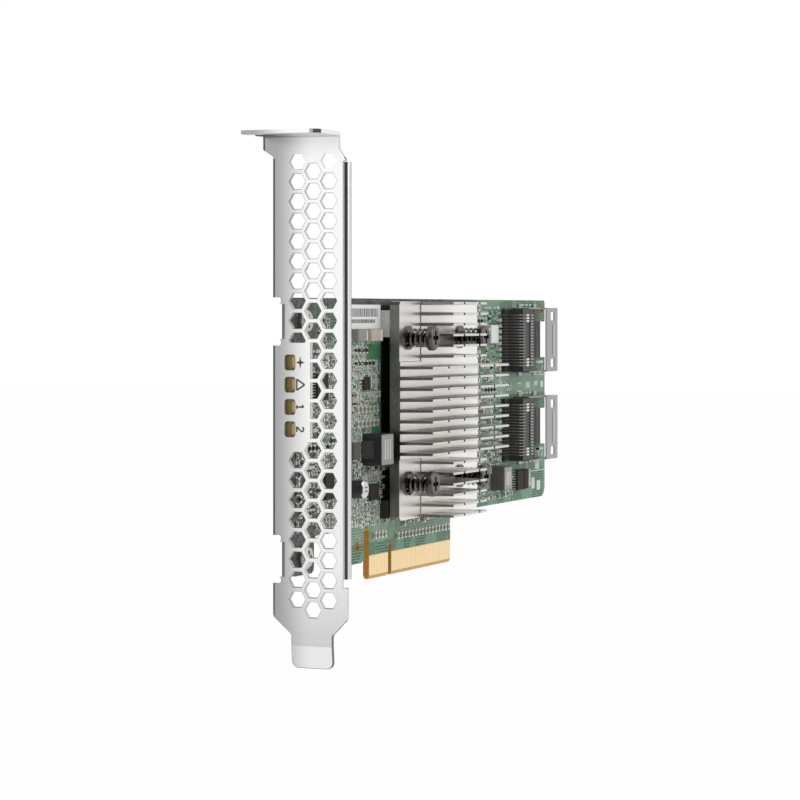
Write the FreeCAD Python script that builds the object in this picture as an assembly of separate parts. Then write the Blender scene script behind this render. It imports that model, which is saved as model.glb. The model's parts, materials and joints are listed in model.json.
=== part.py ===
"""Low-profile storage controller card with a full-height vented bracket.

Units are millimetres. The origin is the centre of the key notch in the edge connector, on the board's
middle plane and bottom edge. +X runs along the card from the bracket to the cable connectors, +Z points
up, away from the edge connector, and the component side faces -Y.
"""
import FreeCAD, Part
import math
import os

Vector = FreeCAD.Vector

# Board
board_length = 167.65  # bracket's outer face to the board's far end
board_height = 67.6  # edge connector's bottom to the board's top
board_thickness = 1.57
board_start = 1.30  # bracket's outer face to the board's near end, clear of the ears' folds
board_corner = 1.0
board_far_corner = 3.0
component_z = 12.75  # the bottom edge beyond the edge connector
component_face = -board_thickness / 2
solder_face = board_thickness / 2

# Edge connector
key_to_bracket = 57.10
key_width = 1.90
key_depth = 8.25
short_finger = 11.65
long_finger = 38.65
bevel_height = 0.90
bevel_depth = 0.35
contact_pitch = 1.00
contact_width = 0.70
contact_top = 5.60
contact_thickness = 0.06
finger_corner = 0.50
finger_shoulder = 1.20  # inside corner beside the edge connector
key_corner = 0.90

# Lobes of the board between the bracket and the edge connector
lobe_bottom = 4.30
near_lobe_end = 13.0
far_lobe_start = 30.0
far_lobe_end = 41.3
lobe_corner = 1.6
tooling_hole = 1.80
tooling_hole_x = 37.55
tooling_hole_z = 8.26
tooling_hole_edge = 2.6  # hole centre from the board's top and far edges

# Bracket
sheet = 0.90
bracket_height = 120.02  # tongue's tip to the tab's underside
bracket_width = 18.42
bracket_drop = 16.04  # tongue's tip below the edge connector's bottom
bracket_board_gap = 2.63  # bracket's solder-side edge to the board's solder side
bend_radius = 0.40  # inside radius of every fold
tab_depth = 11.40
tab_overhang = 2.50  # tab past the bracket's solder-side edge
tab_inset = 2.14  # tab short of the bracket's component-side edge
neck_height = 3.80
shoulder_height = 1.60
tongue_width = 10.19
tongue_offset = 4.48  # solder-side edge to the tongue's edge
tongue_length = 7.60
tongue_kink = 2.10  # where the tongue's lower part leans in
tongue_lean = 0.55
tongue_corner = 1.60
tongue_root = 1.20
hip_height = 3.90
hip_corner = 1.60
neck_corner = 0.50
tab_corner = 2.00
screw_slot_width = 4.42
screw_slot_depth = 5.60
screw_slot_from_face = 6.35
flange_depth = 2.30
flange_from_top = 6.88  # bracket's top to the flange's top
flange_foot = 20.39  # tongue's tip to the flange's foot
flange_relief = 1.90
flange_relief_corner = 0.30
ear_length = 12.0
ear_height = 8.0
ear_relief = 1.45
ear_relief_depth = 1.90
ear_relief_corner = 0.50
ear_hole_distance = 7.0  # bracket's outer face to the fixing screws
ear_corner = 1.5
upper_ear_depth = 5.40  # board's top to the upper fixing screw
lower_ear_rise = 4.10  # board's lobe to the lower fixing screw

# Hexagonal vents, three columns
vent_across_flats = 3.48
vent_pitch = 4.4926
vent_first_column = 6.02  # from the bracket's solder-side edge
vent_foot = 15.513  # tongue's tip to the lowest row
vent_from_top = 5.00  # least distance of a row to the tab's underside

# Indicator windows
indicator_count = 4
indicator_pitch = 5.03
indicator_top = 52.95
indicator_offset = 4.20
window_width = 2.50
window_height = 3.40
window_corner = 0.60
panel_edge = 9.40  # the plain panel beside the windows cuts the middle vents here
panel_top = 57.50
led_length = 2.20
led_width = 3.00
led_height = 1.70
led_lens = 0.50

# Fixing screws of the bracket
fixing_radius = 1.45
fixing_head_radius = 2.75
fixing_head_height = 1.60
fixing_clearance = 0.15
fixing_tip = 0.80  # past the ear
fixing_point = 0.30

# Heatsink
heatsink_start = 51.2
heatsink_length = 51.6
heatsink_gap = 2.57  # board to the base's underside
base_thickness = 2.73
fin_height = 8.60
fin_thickness = 0.75  # at its root
fin_tip = 0.55
fin_rows = 21
fin_pitch = 2.62
cross_cuts = 4
cross_cut_width = 0.90
ledge_rows = 6  # short rows at the top and at the bottom
ledge_past_screw = 8.00  # near ledge's end past the first pair of screws
ledge_before_screw = 3.30  # far ledge's start before the second pair
ledge_gap = 0.80  # between the last fin and a row that is cut short
ledge_step = 0.20  # milled ledge below the channels' floor
base_corner = 0.80
heatsink_bottom = 13.75

# Sprung shoulder screws of the heatsink
screw_span_x = 33.9
screw_span_z = 35.5
screw_near = 5.30  # base's near edge to the first pair
screw_hole_clearance = 0.45
shoulder_radius = 1.25
screw_head_edge = 0.50
screw_head_radius = 3.10
screw_head_height = 1.60
screw_head_level = 12.50  # board's component face to the head's top
recess_width = 0.90
recess_length = 3.40
recess_depth = 0.90
thread_radius = 1.05
thread_point = 0.25
board_hole_clearance = 0.25
washer_radius = 2.95
washer_clearance = 0.15
washer_thickness = 0.50
spring_radius = 2.05  # to the middle of the wire
spring_wire = 0.55
spring_turns = 3.5
spring_sides = 12  # flats in a turn
nut_across_flats = 4.60
nut_height = 1.80
nut_clearance = 0.05

# Controller package under the heatsink
package_side = 27.0
substrate_height = 1.10
lid_side = 21.0
lid_height = 0.95
pad_side = 20.0

# Cable connectors at the far end
port_from_top = 10.90  # board's top to the upper port's middle
port_pitch = 24.25
port_width = 17.6
shell_sheet = 0.30
shell_height = 5.40
shell_setback = 4.25  # mouth to the board's far end
shell_length = 21.2
shell_bar = 9.10
latch_hole_length = 2.80
latch_hole_width = 2.20
latch_hole_offset = 6.50
latch_hole_from_mouth = 4.10
foot_length = 2.60
foot_width = 1.10
foot_positions = (4.0, 15.5)  # from the shell's rear
housing_length = 7.60
housing_to_bar = 9.90  # the open top between the housing and the bar
housing_clearance = 0.05
step_length = 3.10
step_height = 1.10
nose_length = 5.20
nose_height = 3.40
nose_width = 15.2
nose_wall = 0.90
card_slot_height = 1.20
card_slot_depth = 6.00
lead_count = 18
lead_pitch = 0.80
lead_width = 0.36
lead_thickness = 0.20
lead_tail = 1.20
groove_width = 0.44
groove_depth = 0.25
comb_length = 3.10
comb_depth = 0.60
floor_tongue_thickness = 0.40
floor_tongue_end = 0.10  # short of the notch in the board's edge
edge_notch_depth = 4.50
edge_notch_width = 10.0
edge_notch_corner = 0.80
edge_notch_mouth = 0.40

# Power inductor
inductor_length = 7.90
inductor_width = 7.60
inductor_height = 5.20
inductor_chamfer = 0.70
inductor_x = 39.8
inductor_from_top = 36.2
terminal_width = 4.20
terminal_height = 3.30
terminal_thickness = 0.20

# Aluminium can capacitor
can_radius = 2.15
can_height = 5.40
can_base_side = 4.50
can_base_height = 0.90
can_groove_level = 1.90
can_groove_depth = 0.25
can_edge = 0.35
can_x = 30.3
can_z = 22.6


def from_bracket(distance):
    """X of a plane that is this far from the bracket's outer face."""
    return distance - key_to_bracket


def above_board(height):
    """Y of a plane this high over the component face."""
    return component_face - height


def across_bracket(offset):
    """Y of a plane this far from the bracket's solder-side edge."""
    return solder_face + bracket_board_gap - offset


def box(x0, x1, y0, y1, z0, z1):
    low = Vector(min(x0, x1), min(y0, y1), min(z0, z1))
    return Part.makeBox(abs(x1 - x0), abs(y1 - y0), abs(z1 - z0), low)


def cylinder_y(radius, x, z, y0, y1):
    return Part.makeCylinder(radius, abs(y1 - y0), Vector(x, min(y0, y1), z), Vector(0, 1, 0))


def rounded_wire(corners, place):
    """A closed outline through corners (a, b, radius), each rounded by its radius."""
    edges = []
    joints = []
    for index, (a, b, radius) in enumerate(corners):
        corner = Vector(a, b, 0)
        before = Vector(*corners[index - 1][:2], 0) - corner
        after = Vector(*corners[(index + 1) % len(corners)][:2], 0) - corner
        if radius <= 0:
            joints.append((corner, None, corner))
            continue
        before.normalize()
        after.normalize()
        half_angle = before.getAngle(after) / 2
        reach = radius / math.tan(half_angle)
        middle = before + after
        middle.normalize()
        crown = corner + middle * (radius / math.sin(half_angle) - radius)
        joints.append((corner + before * reach, crown, corner + after * reach))
    for index, (start, crown, end) in enumerate(joints):
        if crown is not None:
            edges.append(Part.Arc(place(start), place(crown), place(end)).toShape())
        following = joints[(index + 1) % len(joints)][0]
        if (following - end).Length > 1e-6:
            edges.append(Part.LineSegment(place(end), place(following)).toShape())
    return Part.Wire(edges)


def plate_xz(corners, y0, y1):
    """A flat plate whose outline is given in X and Z."""
    wire = rounded_wire(corners, lambda p: Vector(p.x, min(y0, y1), p.y))
    return Part.Face(wire).extrude(Vector(0, abs(y1 - y0), 0))


def plate_yz(corners, x0, x1):
    """A flat plate whose outline is given in Y and Z."""
    wire = rounded_wire(corners, lambda p: Vector(min(x0, x1), p.x, p.y))
    return Part.Face(wire).extrude(Vector(abs(x1 - x0), 0, 0))


def strip_xy(corners, z0, z1):
    """A bar along Z whose section is given in X and Y."""
    wire = rounded_wire(corners, lambda p: Vector(p.x, p.y, min(z0, z1)))
    return Part.Face(wire).extrude(Vector(0, 0, abs(z1 - z0)))


def join(shapes):
    return shapes[0].multiFuse(shapes[1:]).removeSplitter()


def group(shapes):
    return Part.makeCompound(shapes)


def port_levels():
    """Z of the upper and of the lower cable port."""
    upper = board_height - port_from_top
    return upper, upper - port_pitch


def board_outline():
    """The board's outline, with its lobes, key notch and far-end notches."""
    finger_start = -key_width / 2 - short_finger
    finger_end = key_width / 2 + long_finger
    near = from_bracket(board_start)
    far = from_bracket(board_length)
    corners = [
        (near, lobe_bottom, lobe_corner),
        (from_bracket(near_lobe_end), lobe_bottom, lobe_corner),
        (from_bracket(near_lobe_end), component_z, lobe_corner),
        (from_bracket(far_lobe_start), component_z, lobe_corner),
        (from_bracket(far_lobe_start), lobe_bottom, lobe_corner),
        (from_bracket(far_lobe_end), lobe_bottom, lobe_corner),
        (from_bracket(far_lobe_end), component_z, finger_shoulder),
        (finger_start, component_z, finger_shoulder),
        (finger_start, 0, finger_corner),
        (-key_width / 2, 0, finger_corner),
        (-key_width / 2, key_depth, key_corner),
        (key_width / 2, key_depth, key_corner),
        (key_width / 2, 0, finger_corner),
        (finger_end, 0, finger_corner),
        (finger_end, component_z, board_corner),
        (far, component_z, board_far_corner),
    ]
    for level in reversed(port_levels()):
        low = level - edge_notch_width / 2
        high = level + edge_notch_width / 2
        corners += [
            (far, low, edge_notch_mouth),
            (far - edge_notch_depth, low, edge_notch_corner),
            (far - edge_notch_depth, high, edge_notch_corner),
            (far, high, edge_notch_mouth),
        ]
    corners += [(far, board_height, board_corner), (near, board_height, board_corner)]
    return corners


def heatsink_screw_places():
    """X and Z of the four sprung screws, at the corners round the controller."""
    first_x = from_bracket(heatsink_start) + screw_near
    middle_z = heatsink_bottom + heatsink_height() / 2
    return [
        (first_x + step_x * screw_span_x, middle_z + step_z * screw_span_z / 2)
        for step_x in (0, 1)
        for step_z in (-1, 1)
    ]


def heatsink_height():
    return (fin_rows - 1) * fin_pitch + fin_thickness


def ledge_level():
    """Height of the milled ledges over the board."""
    return heatsink_gap + base_thickness - ledge_step


def fixing_places():
    x = from_bracket(ear_hole_distance)
    return [(x, board_height - upper_ear_depth), (x, lobe_bottom + lower_ear_rise)]


def make_circuit_board():
    board = plate_xz(board_outline(), component_face, solder_face)
    drills = [
        cylinder_y(shoulder_radius + board_hole_clearance, x, z, component_face - 1, solder_face + 1)
        for x, z in heatsink_screw_places()
    ]
    drills += [
        cylinder_y(fixing_radius + fixing_clearance, x, z, component_face - 1, solder_face + 1)
        for x, z in fixing_places()
    ]
    drills += [
        cylinder_y(tooling_hole / 2, x, z, component_face - 1, solder_face + 1)
        for x, z in (
            (from_bracket(tooling_hole_x), tooling_hole_z),
            (from_bracket(board_length) - tooling_hole_edge, board_height - tooling_hole_edge),
        )
    ]
    # Both faces of the edge connector are bevelled towards its bottom edge.
    start = -key_width / 2 - short_finger - 1
    end = key_width / 2 + long_finger + 1
    for side in (-1, 1):
        face = side * board_thickness / 2
        section = [
            Vector(start, face + side * 0.1, -0.1),
            Vector(start, face + side * 0.1, bevel_height + bevel_height * 0.1 / bevel_depth),
            Vector(start, face - side * bevel_depth * (bevel_height + 0.1) / bevel_height, -0.1),
        ]
        wedge = Part.Face(Part.makePolygon(section + section[:1]))
        drills.append(wedge.extrude(Vector(end - start, 0, 0)))
    return board.cut(drills)


def contact_places():
    """X of each contact pad: eleven before the key notch and the rest after it."""
    short_margin = short_finger % contact_pitch / 2 + contact_pitch / 2
    places = []
    for finger, start in ((short_finger, -key_width / 2 - short_finger), (long_finger, key_width / 2)):
        for index in range(int(finger / contact_pitch)):
            places.append(start + short_margin + index * contact_pitch)
    return places


def make_edge_contacts(face, outward):
    pads = []
    for x in contact_places():
        pads.append(
            box(
                x - contact_width / 2,
                x + contact_width / 2,
                face,
                face + outward * contact_thickness,
                bevel_height,
                contact_top,
            )
        )
    return group(pads)


def hexagon(y, z, x0, x1):
    """A vent cutter with flats at the top and bottom."""
    across_corners = vent_across_flats / math.cos(math.pi / 6)
    points = []
    for step in range(6):
        angle = step * math.pi / 3
        points.append(
            Vector(x0, y + across_corners / 2 * math.cos(angle), z + across_corners / 2 * math.sin(angle))
        )
    return Part.Face(Part.makePolygon(points + points[:1])).extrude(Vector(x1 - x0, 0, 0))


def vent_cutters(x0, x1):
    """Three staggered columns; the plain panel round the indicators trims those beside it."""
    column_step = vent_pitch * math.cos(math.pi / 6)
    panel_bottom = indicator_top - indicator_pitch * (indicator_count - 1) - window_height
    panel = box(
        x0,
        x1,
        across_bracket(0),
        across_bracket(panel_edge),
        panel_bottom + (panel_top - indicator_top) / 4,
        panel_top,
    )
    rows = int((bracket_height - vent_foot - vent_from_top) / vent_pitch) + 1
    cutters = []
    for column in range(3):
        y = across_bracket(vent_first_column + column * column_step)
        lowest = vent_foot - bracket_drop - (vent_pitch / 2 if column == 1 else 0)
        for row in range(rows):
            z = lowest + row * vent_pitch
            cutter = hexagon(y, z, x0, x1)
            beside_panel = panel_bottom - vent_across_flats / 2 < z < panel_top + vent_across_flats / 2
            if column == 2 or not beside_panel:
                cutters.append(cutter)
                continue
            if column == 0 and z < panel_top:
                continue
            cutters += cutter.cut(panel).Solids
    return cutters


def make_bracket():
    face = from_bracket(0)
    inner = face + sheet
    low_edge = across_bracket(0)
    high_edge = across_bracket(bracket_width)
    bottom = -bracket_drop
    top = bottom + bracket_height + sheet
    outer_bend = bend_radius + sheet
    neck_bottom = top - neck_height
    shoulder = neck_bottom - shoulder_height
    hip = bottom + tongue_length
    tongue_low = across_bracket(tongue_offset)
    tongue_high = across_bracket(tongue_offset + tongue_width)
    tab_low = across_bracket(-tab_overhang)
    tab_high = across_bracket(bracket_width - tab_inset)
    flange_root = across_bracket(bracket_width - outer_bend)
    flange_top = top - flange_from_top
    flange_bottom = bottom + flange_foot
    ear_face = solder_face + sheet

    # The flat front, down to the tongue's fold
    kink = hip - tongue_kink
    plate = plate_yz(
        [
            (tab_low, top - outer_bend, 0),
            (tab_low, neck_bottom, neck_corner),
            (low_edge, shoulder, neck_corner),
            (low_edge, hip + hip_height, hip_corner),
            (tongue_low, hip, tongue_root),
            (tongue_low, kink, 0),
            (tongue_high, kink, 0),
            (tongue_high, hip, tongue_root),
            (high_edge, hip + hip_height, hip_corner),
            (high_edge, flange_bottom - flange_relief, flange_relief_corner),
            (flange_root, flange_bottom - flange_relief, 0),
            (flange_root, flange_top, 0),
            (across_bracket(bracket_width - bend_radius), flange_top + bend_radius, 0),
            (tab_high, neck_bottom, neck_corner),
            (tab_high, top - outer_bend, 0),
        ],
        face,
        inner,
    )

    # The tongue leans inwards below its fold and has rounded corners.
    tongue_foot = kink - bottom
    lean = Vector(tongue_lean, 0, 0)
    tongue_section = [
        Vector(face, tongue_low, kink),
        Vector(inner, tongue_low, kink),
        Vector(inner, tongue_low, bottom) + lean,
        Vector(face, tongue_low, bottom) + lean,
    ]
    tongue = Part.Face(Part.makePolygon(tongue_section + tongue_section[:1]))
    tongue = tongue.extrude(Vector(0, tongue_high - tongue_low, 0))
    trim = plate_yz(
        [
            (tongue_low, kink + tongue_foot, 0),
            (tongue_low, bottom, tongue_corner),
            (tongue_high, bottom, tongue_corner),
            (tongue_high, kink + tongue_foot, 0),
        ],
        face - sheet,
        inner + sheet,
    )
    tongue = tongue.common(trim)

    # The tab is folded outwards at the top, with a slot for the chassis screw.
    tab = plate_xz(
        [
            (face - tab_depth, top, 0),
            (inner, top, outer_bend),
            (inner, top - outer_bend, 0),
            (face, top - outer_bend, 0),
            (face, top - sheet, bend_radius),
            (face - tab_depth, top - sheet, 0),
        ],
        tab_high,
        tab_low,
    )
    slot_x = face - screw_slot_from_face
    slot_radius = screw_slot_width / 2
    slot_end = tab_low - screw_slot_depth + slot_radius
    slot = box(slot_x - slot_radius, slot_x + slot_radius, slot_end, tab_low + 1, top - 2 * sheet, top + 1)
    slot_round = Part.makeCylinder(slot_radius, 2 * sheet + 1, Vector(slot_x, slot_end, top - 2 * sheet))
    corner_cut = Part.Face(
        Part.makePolygon(
            [
                Vector(face - tab_depth, tab_high, top - 2 * sheet),
                Vector(face - tab_depth + tab_corner, tab_high, top - 2 * sheet),
                Vector(face - tab_depth, tab_high + tab_corner, top - 2 * sheet),
                Vector(face - tab_depth, tab_high, top - 2 * sheet),
            ]
        )
    ).extrude(Vector(0, 0, 3 * sheet))
    tab = tab.cut([slot, slot_round, corner_cut])

    # The stiffening flange is folded back along the component-side edge.
    flange = strip_xy(
        [
            (face, flange_root, 0),
            (face, high_edge, outer_bend),
            (face + flange_depth, high_edge, 0),
            (face + flange_depth, high_edge + sheet, 0),
            (inner, high_edge + sheet, bend_radius),
            (inner, flange_root, 0),
        ],
        flange_bottom,
        flange_top,
    )

    # Two ears are folded back against the board's solder side.
    ears = []
    cuts = []
    for hole_x, level in fixing_places():
        ear_low = level - ear_height / 2
        ear_high = level + ear_height / 2
        cuts.append(box(face - 1, inner + 1, low_edge + 1, ear_face - outer_bend, ear_low, ear_high))
        for foot in (ear_low - ear_relief, ear_high):
            cuts.append(
                plate_yz(
                    [
                        (low_edge + 1, foot, 0),
                        (low_edge - ear_relief_depth, foot, ear_relief_corner),
                        (low_edge - ear_relief_depth, foot + ear_relief, ear_relief_corner),
                        (low_edge + 1, foot + ear_relief, 0),
                    ],
                    face - 1,
                    inner + 1,
                )
            )
        ear = strip_xy(
            [
                (face, ear_face - outer_bend, 0),
                (face, ear_face, outer_bend),
                (face + ear_length, ear_face, 0),
                (face + ear_length, solder_face, 0),
                (inner, solder_face, bend_radius),
                (inner, ear_face - outer_bend, 0),
            ],
            ear_low,
            ear_high,
        )
        ear_trim = plate_xz(
            [
                (face - 1, ear_low, 0),
                (face + ear_length, ear_low, ear_corner),
                (face + ear_length, ear_high, ear_corner),
                (face - 1, ear_high, 0),
            ],
            solder_face - outer_bend,
            ear_face + 1,
        )
        hole = cylinder_y(fixing_radius, hole_x, level, solder_face - 1, ear_face + 1)
        ears.append(ear.common(ear_trim).cut(hole))

    bracket = join([plate.cut(cuts), tongue, tab, flange] + ears)
    windows = []
    for index in range(indicator_count):
        z = indicator_top - index * indicator_pitch
        y = across_bracket(indicator_offset)
        windows.append(
            plate_yz(
                [
                    (y - window_width / 2, z - window_height / 2, window_corner),
                    (y + window_width / 2, z - window_height / 2, window_corner),
                    (y + window_width / 2, z + window_height / 2, window_corner),
                    (y - window_width / 2, z + window_height / 2, window_corner),
                ],
                face - 1,
                inner + 1,
            )
        )
    return bracket.cut(vent_cutters(face - 1, inner + 1) + windows)


def cross_recess(x, z, top, length, width, depth):
    """The cross-shaped driver recess of a screw whose head is at this level over the board."""
    bars = []
    for size_x, size_z in ((length, width), (width, length)):
        bars.append(
            box(
                x - size_x / 2,
                x + size_x / 2,
                above_board(top - depth),
                above_board(top + 1),
                z - size_z / 2,
                z + size_z / 2,
            )
        )
    return join(bars)


def turned(profile, x, z):
    """A turned piece: profile is (radius, height over the board) round an axis along Y."""
    points = [Vector(x + radius, above_board(height), z) for radius, height in profile]
    face = Part.Face(Part.makePolygon(points + points[:1]))
    return face.revolve(Vector(x, 0, z), Vector(0, 1, 0), 360)


def make_bracket_screws():
    screws = []
    tip = -board_thickness - sheet - fixing_tip
    for x, z in fixing_places():
        screw = turned(
            [
                (0, tip),
                (fixing_radius - fixing_point, tip),
                (fixing_radius, tip + fixing_point),
                (fixing_radius, 0),
                (fixing_head_radius, 0),
                (fixing_head_radius, fixing_head_height * 0.6),
                (fixing_head_radius * 0.8, fixing_head_height),
                (0, fixing_head_height),
            ],
            x,
            z,
        )
        recess = cross_recess(
            x, z, fixing_head_height, fixing_head_radius * 1.1, recess_width, fixing_head_height / 2
        )
        screws.append(screw.cut(recess))
    return group(screws)


def make_heatsink():
    """An extruded comb, cut across into five blocks of fins, with a ledge milled at each screw."""
    start = from_bracket(heatsink_start)
    end = start + heatsink_length
    under = heatsink_gap
    deck = under + base_thickness
    tip = deck + fin_height
    bottom = heatsink_bottom
    top = bottom + heatsink_height()
    draft = (fin_thickness - fin_tip) / 2
    profile = [(under, bottom), (under, top)]
    for row in reversed(range(fin_rows)):
        low = bottom + row * fin_pitch
        high = low + fin_thickness
        profile += [(deck, high), (tip, high - draft), (tip, low + draft), (deck, low)]
    points = [Vector(start, above_board(height), z) for height, z in profile]
    comb = Part.Face(Part.makePolygon(points + points[:1])).extrude(Vector(heatsink_length, 0, 0))

    cuts = []
    block = heatsink_length / (cross_cuts + 1)
    for index in range(1, cross_cuts + 1):
        x = start + index * block
        cuts.append(
            box(
                x - cross_cut_width / 2,
                x + cross_cut_width / 2,
                above_board(deck),
                above_board(tip + 1),
                bottom - 1,
                top + 1,
            )
        )
    ledge_span = (ledge_rows - 1) * fin_pitch + fin_thickness + ledge_gap
    near_ledge = start + screw_near + ledge_past_screw
    far_ledge = start + screw_near + screw_span_x - ledge_before_screw
    for low, high in ((bottom - 1, bottom + ledge_span), (top - ledge_span, top + 1)):
        for x0, x1 in ((start - 1, near_ledge), (far_ledge, end + 1)):
            cuts.append(box(x0, x1, above_board(ledge_level()), above_board(tip + 1), low, high))
    for x, z in heatsink_screw_places():
        hole_radius = shoulder_radius + screw_hole_clearance
        cuts.append(cylinder_y(hole_radius, x, z, above_board(0), above_board(deck + 1)))
    heatsink = comb.cut(cuts)
    corners = []
    for edge in heatsink.Edges:
        middle = edge.CenterOfMass
        reach = edge.BoundBox.YLength
        along_y = abs(reach - base_thickness + ledge_step) < 1e-4 and edge.BoundBox.XLength < 1e-4
        at_corner = min(abs(middle.x - start), abs(middle.x - end)) < 1e-4
        at_corner = at_corner and min(abs(middle.z - bottom), abs(middle.z - top)) < 1e-4
        if along_y and at_corner:
            corners.append(edge)
    return heatsink.makeChamfer(base_corner, corners)


def make_heatsink_screws():
    screws = []
    head_base = screw_head_level - screw_head_height
    tip = -board_thickness - nut_height
    for x, z in heatsink_screw_places():
        screw = turned(
            [
                (0, tip),
                (thread_radius - thread_point, tip),
                (thread_radius, tip + thread_point),
                (thread_radius, -board_thickness),
                (shoulder_radius, -board_thickness),
                (shoulder_radius, head_base),
                (screw_head_radius, head_base),
                (screw_head_radius, screw_head_level - screw_head_edge),
                (screw_head_radius - screw_head_edge, screw_head_level),
                (0, screw_head_level),
            ],
            x,
            z,
        )
        recess = cross_recess(x, z, screw_head_level, recess_length, recess_width, recess_depth)
        screws.append(screw.cut(recess))
    return group(screws)


def make_heatsink_washers():
    deck = ledge_level()
    hole = shoulder_radius + washer_clearance
    return group(
        [
            turned(
                [
                    (hole, deck),
                    (washer_radius, deck),
                    (washer_radius, deck + washer_thickness),
                    (hole, deck + washer_thickness),
                ],
                x,
                z,
            )
            for x, z in heatsink_screw_places()
        ]
    )


def make_heatsink_springs():
    """Compression springs between the washers and the screw heads."""
    low = ledge_level() + washer_thickness
    high = screw_head_level - screw_head_height
    travel = high - low - spring_wire
    inner = spring_radius - spring_wire / 2
    outer = spring_radius + spring_wire / 2
    steps = round(spring_turns * spring_sides)
    springs = []
    for x, z in heatsink_screw_places():
        sections = []
        for step in range(steps + 1):
            angle = step * 2 * math.pi / spring_sides
            foot = low + travel * step / steps
            head = foot + spring_wire
            points = [
                Vector(x + radius * math.cos(angle), above_board(height), z + radius * math.sin(angle))
                for radius, height in ((inner, foot), (outer, foot), (outer, head), (inner, head))
            ]
            sections.append(Part.makePolygon(points + points[:1]))
        springs.append(Part.makeLoft(sections, True, True))
    return group(springs)


def make_heatsink_nuts():
    nuts = []
    across_corners = nut_across_flats / math.cos(math.pi / 6)
    for x, z in heatsink_screw_places():
        corners = []
        for step in range(6):
            angle = step * math.pi / 3
            corners.append(
                (x + across_corners / 2 * math.cos(angle), z + across_corners / 2 * math.sin(angle), 0)
            )
        nut = plate_xz(corners, solder_face, solder_face + nut_height)
        bore = cylinder_y(thread_radius + nut_clearance, x, z, solder_face - 1, solder_face + nut_height + 1)
        nuts.append(nut.cut(bore))
    return group(nuts)


def controller_centre():
    places = heatsink_screw_places()
    return sum(x for x, z in places) / len(places), sum(z for x, z in places) / len(places)


def centred_block(x, z, size_x, size_z, low, high):
    """A block over the board, between two heights."""
    return box(
        x - size_x / 2,
        x + size_x / 2,
        above_board(low),
        above_board(high),
        z - size_z / 2,
        z + size_z / 2,
    )


def make_controller_chip():
    x, z = controller_centre()
    substrate = centred_block(x, z, package_side, package_side, 0, substrate_height)
    lid = centred_block(x, z, lid_side, lid_side, substrate_height, substrate_height + lid_height)
    return join([substrate, lid])


def make_thermal_pad():
    x, z = controller_centre()
    return centred_block(x, z, pad_side, pad_side, substrate_height + lid_height, heatsink_gap)


def lead_offsets():
    return [(index - (lead_count - 1) / 2) * lead_pitch for index in range(lead_count)]


def shell_mouth():
    return from_bracket(board_length) - shell_setback


def housing_front():
    return shell_mouth() - shell_bar - housing_to_bar


def make_sas_housing(level):
    """The moulded body: grooved rear step, slotted block, nose for the plug's card and floor tongue."""
    front = housing_front()
    rear = front - housing_length
    half = port_width / 2 - shell_sheet - housing_clearance
    top = shell_height - shell_sheet - housing_clearance
    block = box(rear, front, component_face, above_board(top), level - half, level + half)
    step_rear = rear - step_length
    step = box(step_rear, rear, component_face, above_board(step_height), level - half, level + half)
    nose = box(
        front,
        front + nose_length,
        component_face,
        above_board(nose_height),
        level - nose_width / 2,
        level + nose_width / 2,
    )
    tongue = box(
        front,
        from_bracket(board_length) - edge_notch_depth - floor_tongue_end,
        component_face,
        above_board(floor_tongue_thickness),
        level - edge_notch_width / 2,
        level + edge_notch_width / 2,
    )
    body = join([block, step, nose, tongue])
    slot_middle = nose_height / 2
    cuts = [
        box(
            front + nose_length - card_slot_depth,
            front + nose_length + 1,
            above_board(slot_middle - card_slot_height / 2),
            above_board(slot_middle + card_slot_height / 2),
            level - nose_width / 2 + nose_wall,
            level + nose_width / 2 - nose_wall,
        )
    ]
    for offset in lead_offsets():
        z0 = level + offset - groove_width / 2
        z1 = level + offset + groove_width / 2
        cuts.append(
            box(
                rear - 1,
                rear + groove_depth,
                above_board(step_height - groove_depth),
                above_board(top - comb_depth),
                z0,
                z1,
            )
        )
        cuts.append(
            box(
                step_rear - 1,
                rear,
                above_board(step_height - groove_depth),
                above_board(step_height + 1),
                z0,
                z1,
            )
        )
        cuts.append(
            box(front - comb_length, front + 1, above_board(top - comb_depth), above_board(top + 1), z0, z1)
        )
    return body.cut(cuts)


def make_sas_contacts(level):
    """Leads that come down the housing's rear, run in the step's grooves and end on the board."""
    rear = housing_front() - housing_length
    top = shell_height - shell_sheet - housing_clearance - comb_depth
    groove_floor = step_height - groove_depth
    leads = []
    for offset in lead_offsets():
        z0 = level + offset - lead_width / 2
        z1 = level + offset + lead_width / 2
        tail_end = rear - step_length - lead_tail
        drop_x = rear - step_length - lead_thickness
        section = [
            (rear + groove_depth, groove_floor),
            (rear + groove_depth, top),
            (rear + groove_depth - lead_thickness, top),
            (rear + groove_depth - lead_thickness, groove_floor + lead_thickness),
            (drop_x, groove_floor + lead_thickness),
            (drop_x, lead_thickness),
            (tail_end, lead_thickness),
            (tail_end, 0),
            (drop_x + lead_thickness, 0),
            (drop_x + lead_thickness, groove_floor),
        ]
        points = [Vector(x, above_board(height), z0) for x, height in section]
        lead = Part.Face(Part.makePolygon(points + points[:1])).extrude(Vector(0, 0, z1 - z0))
        leads.append(lead)
    return group(leads)


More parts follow.
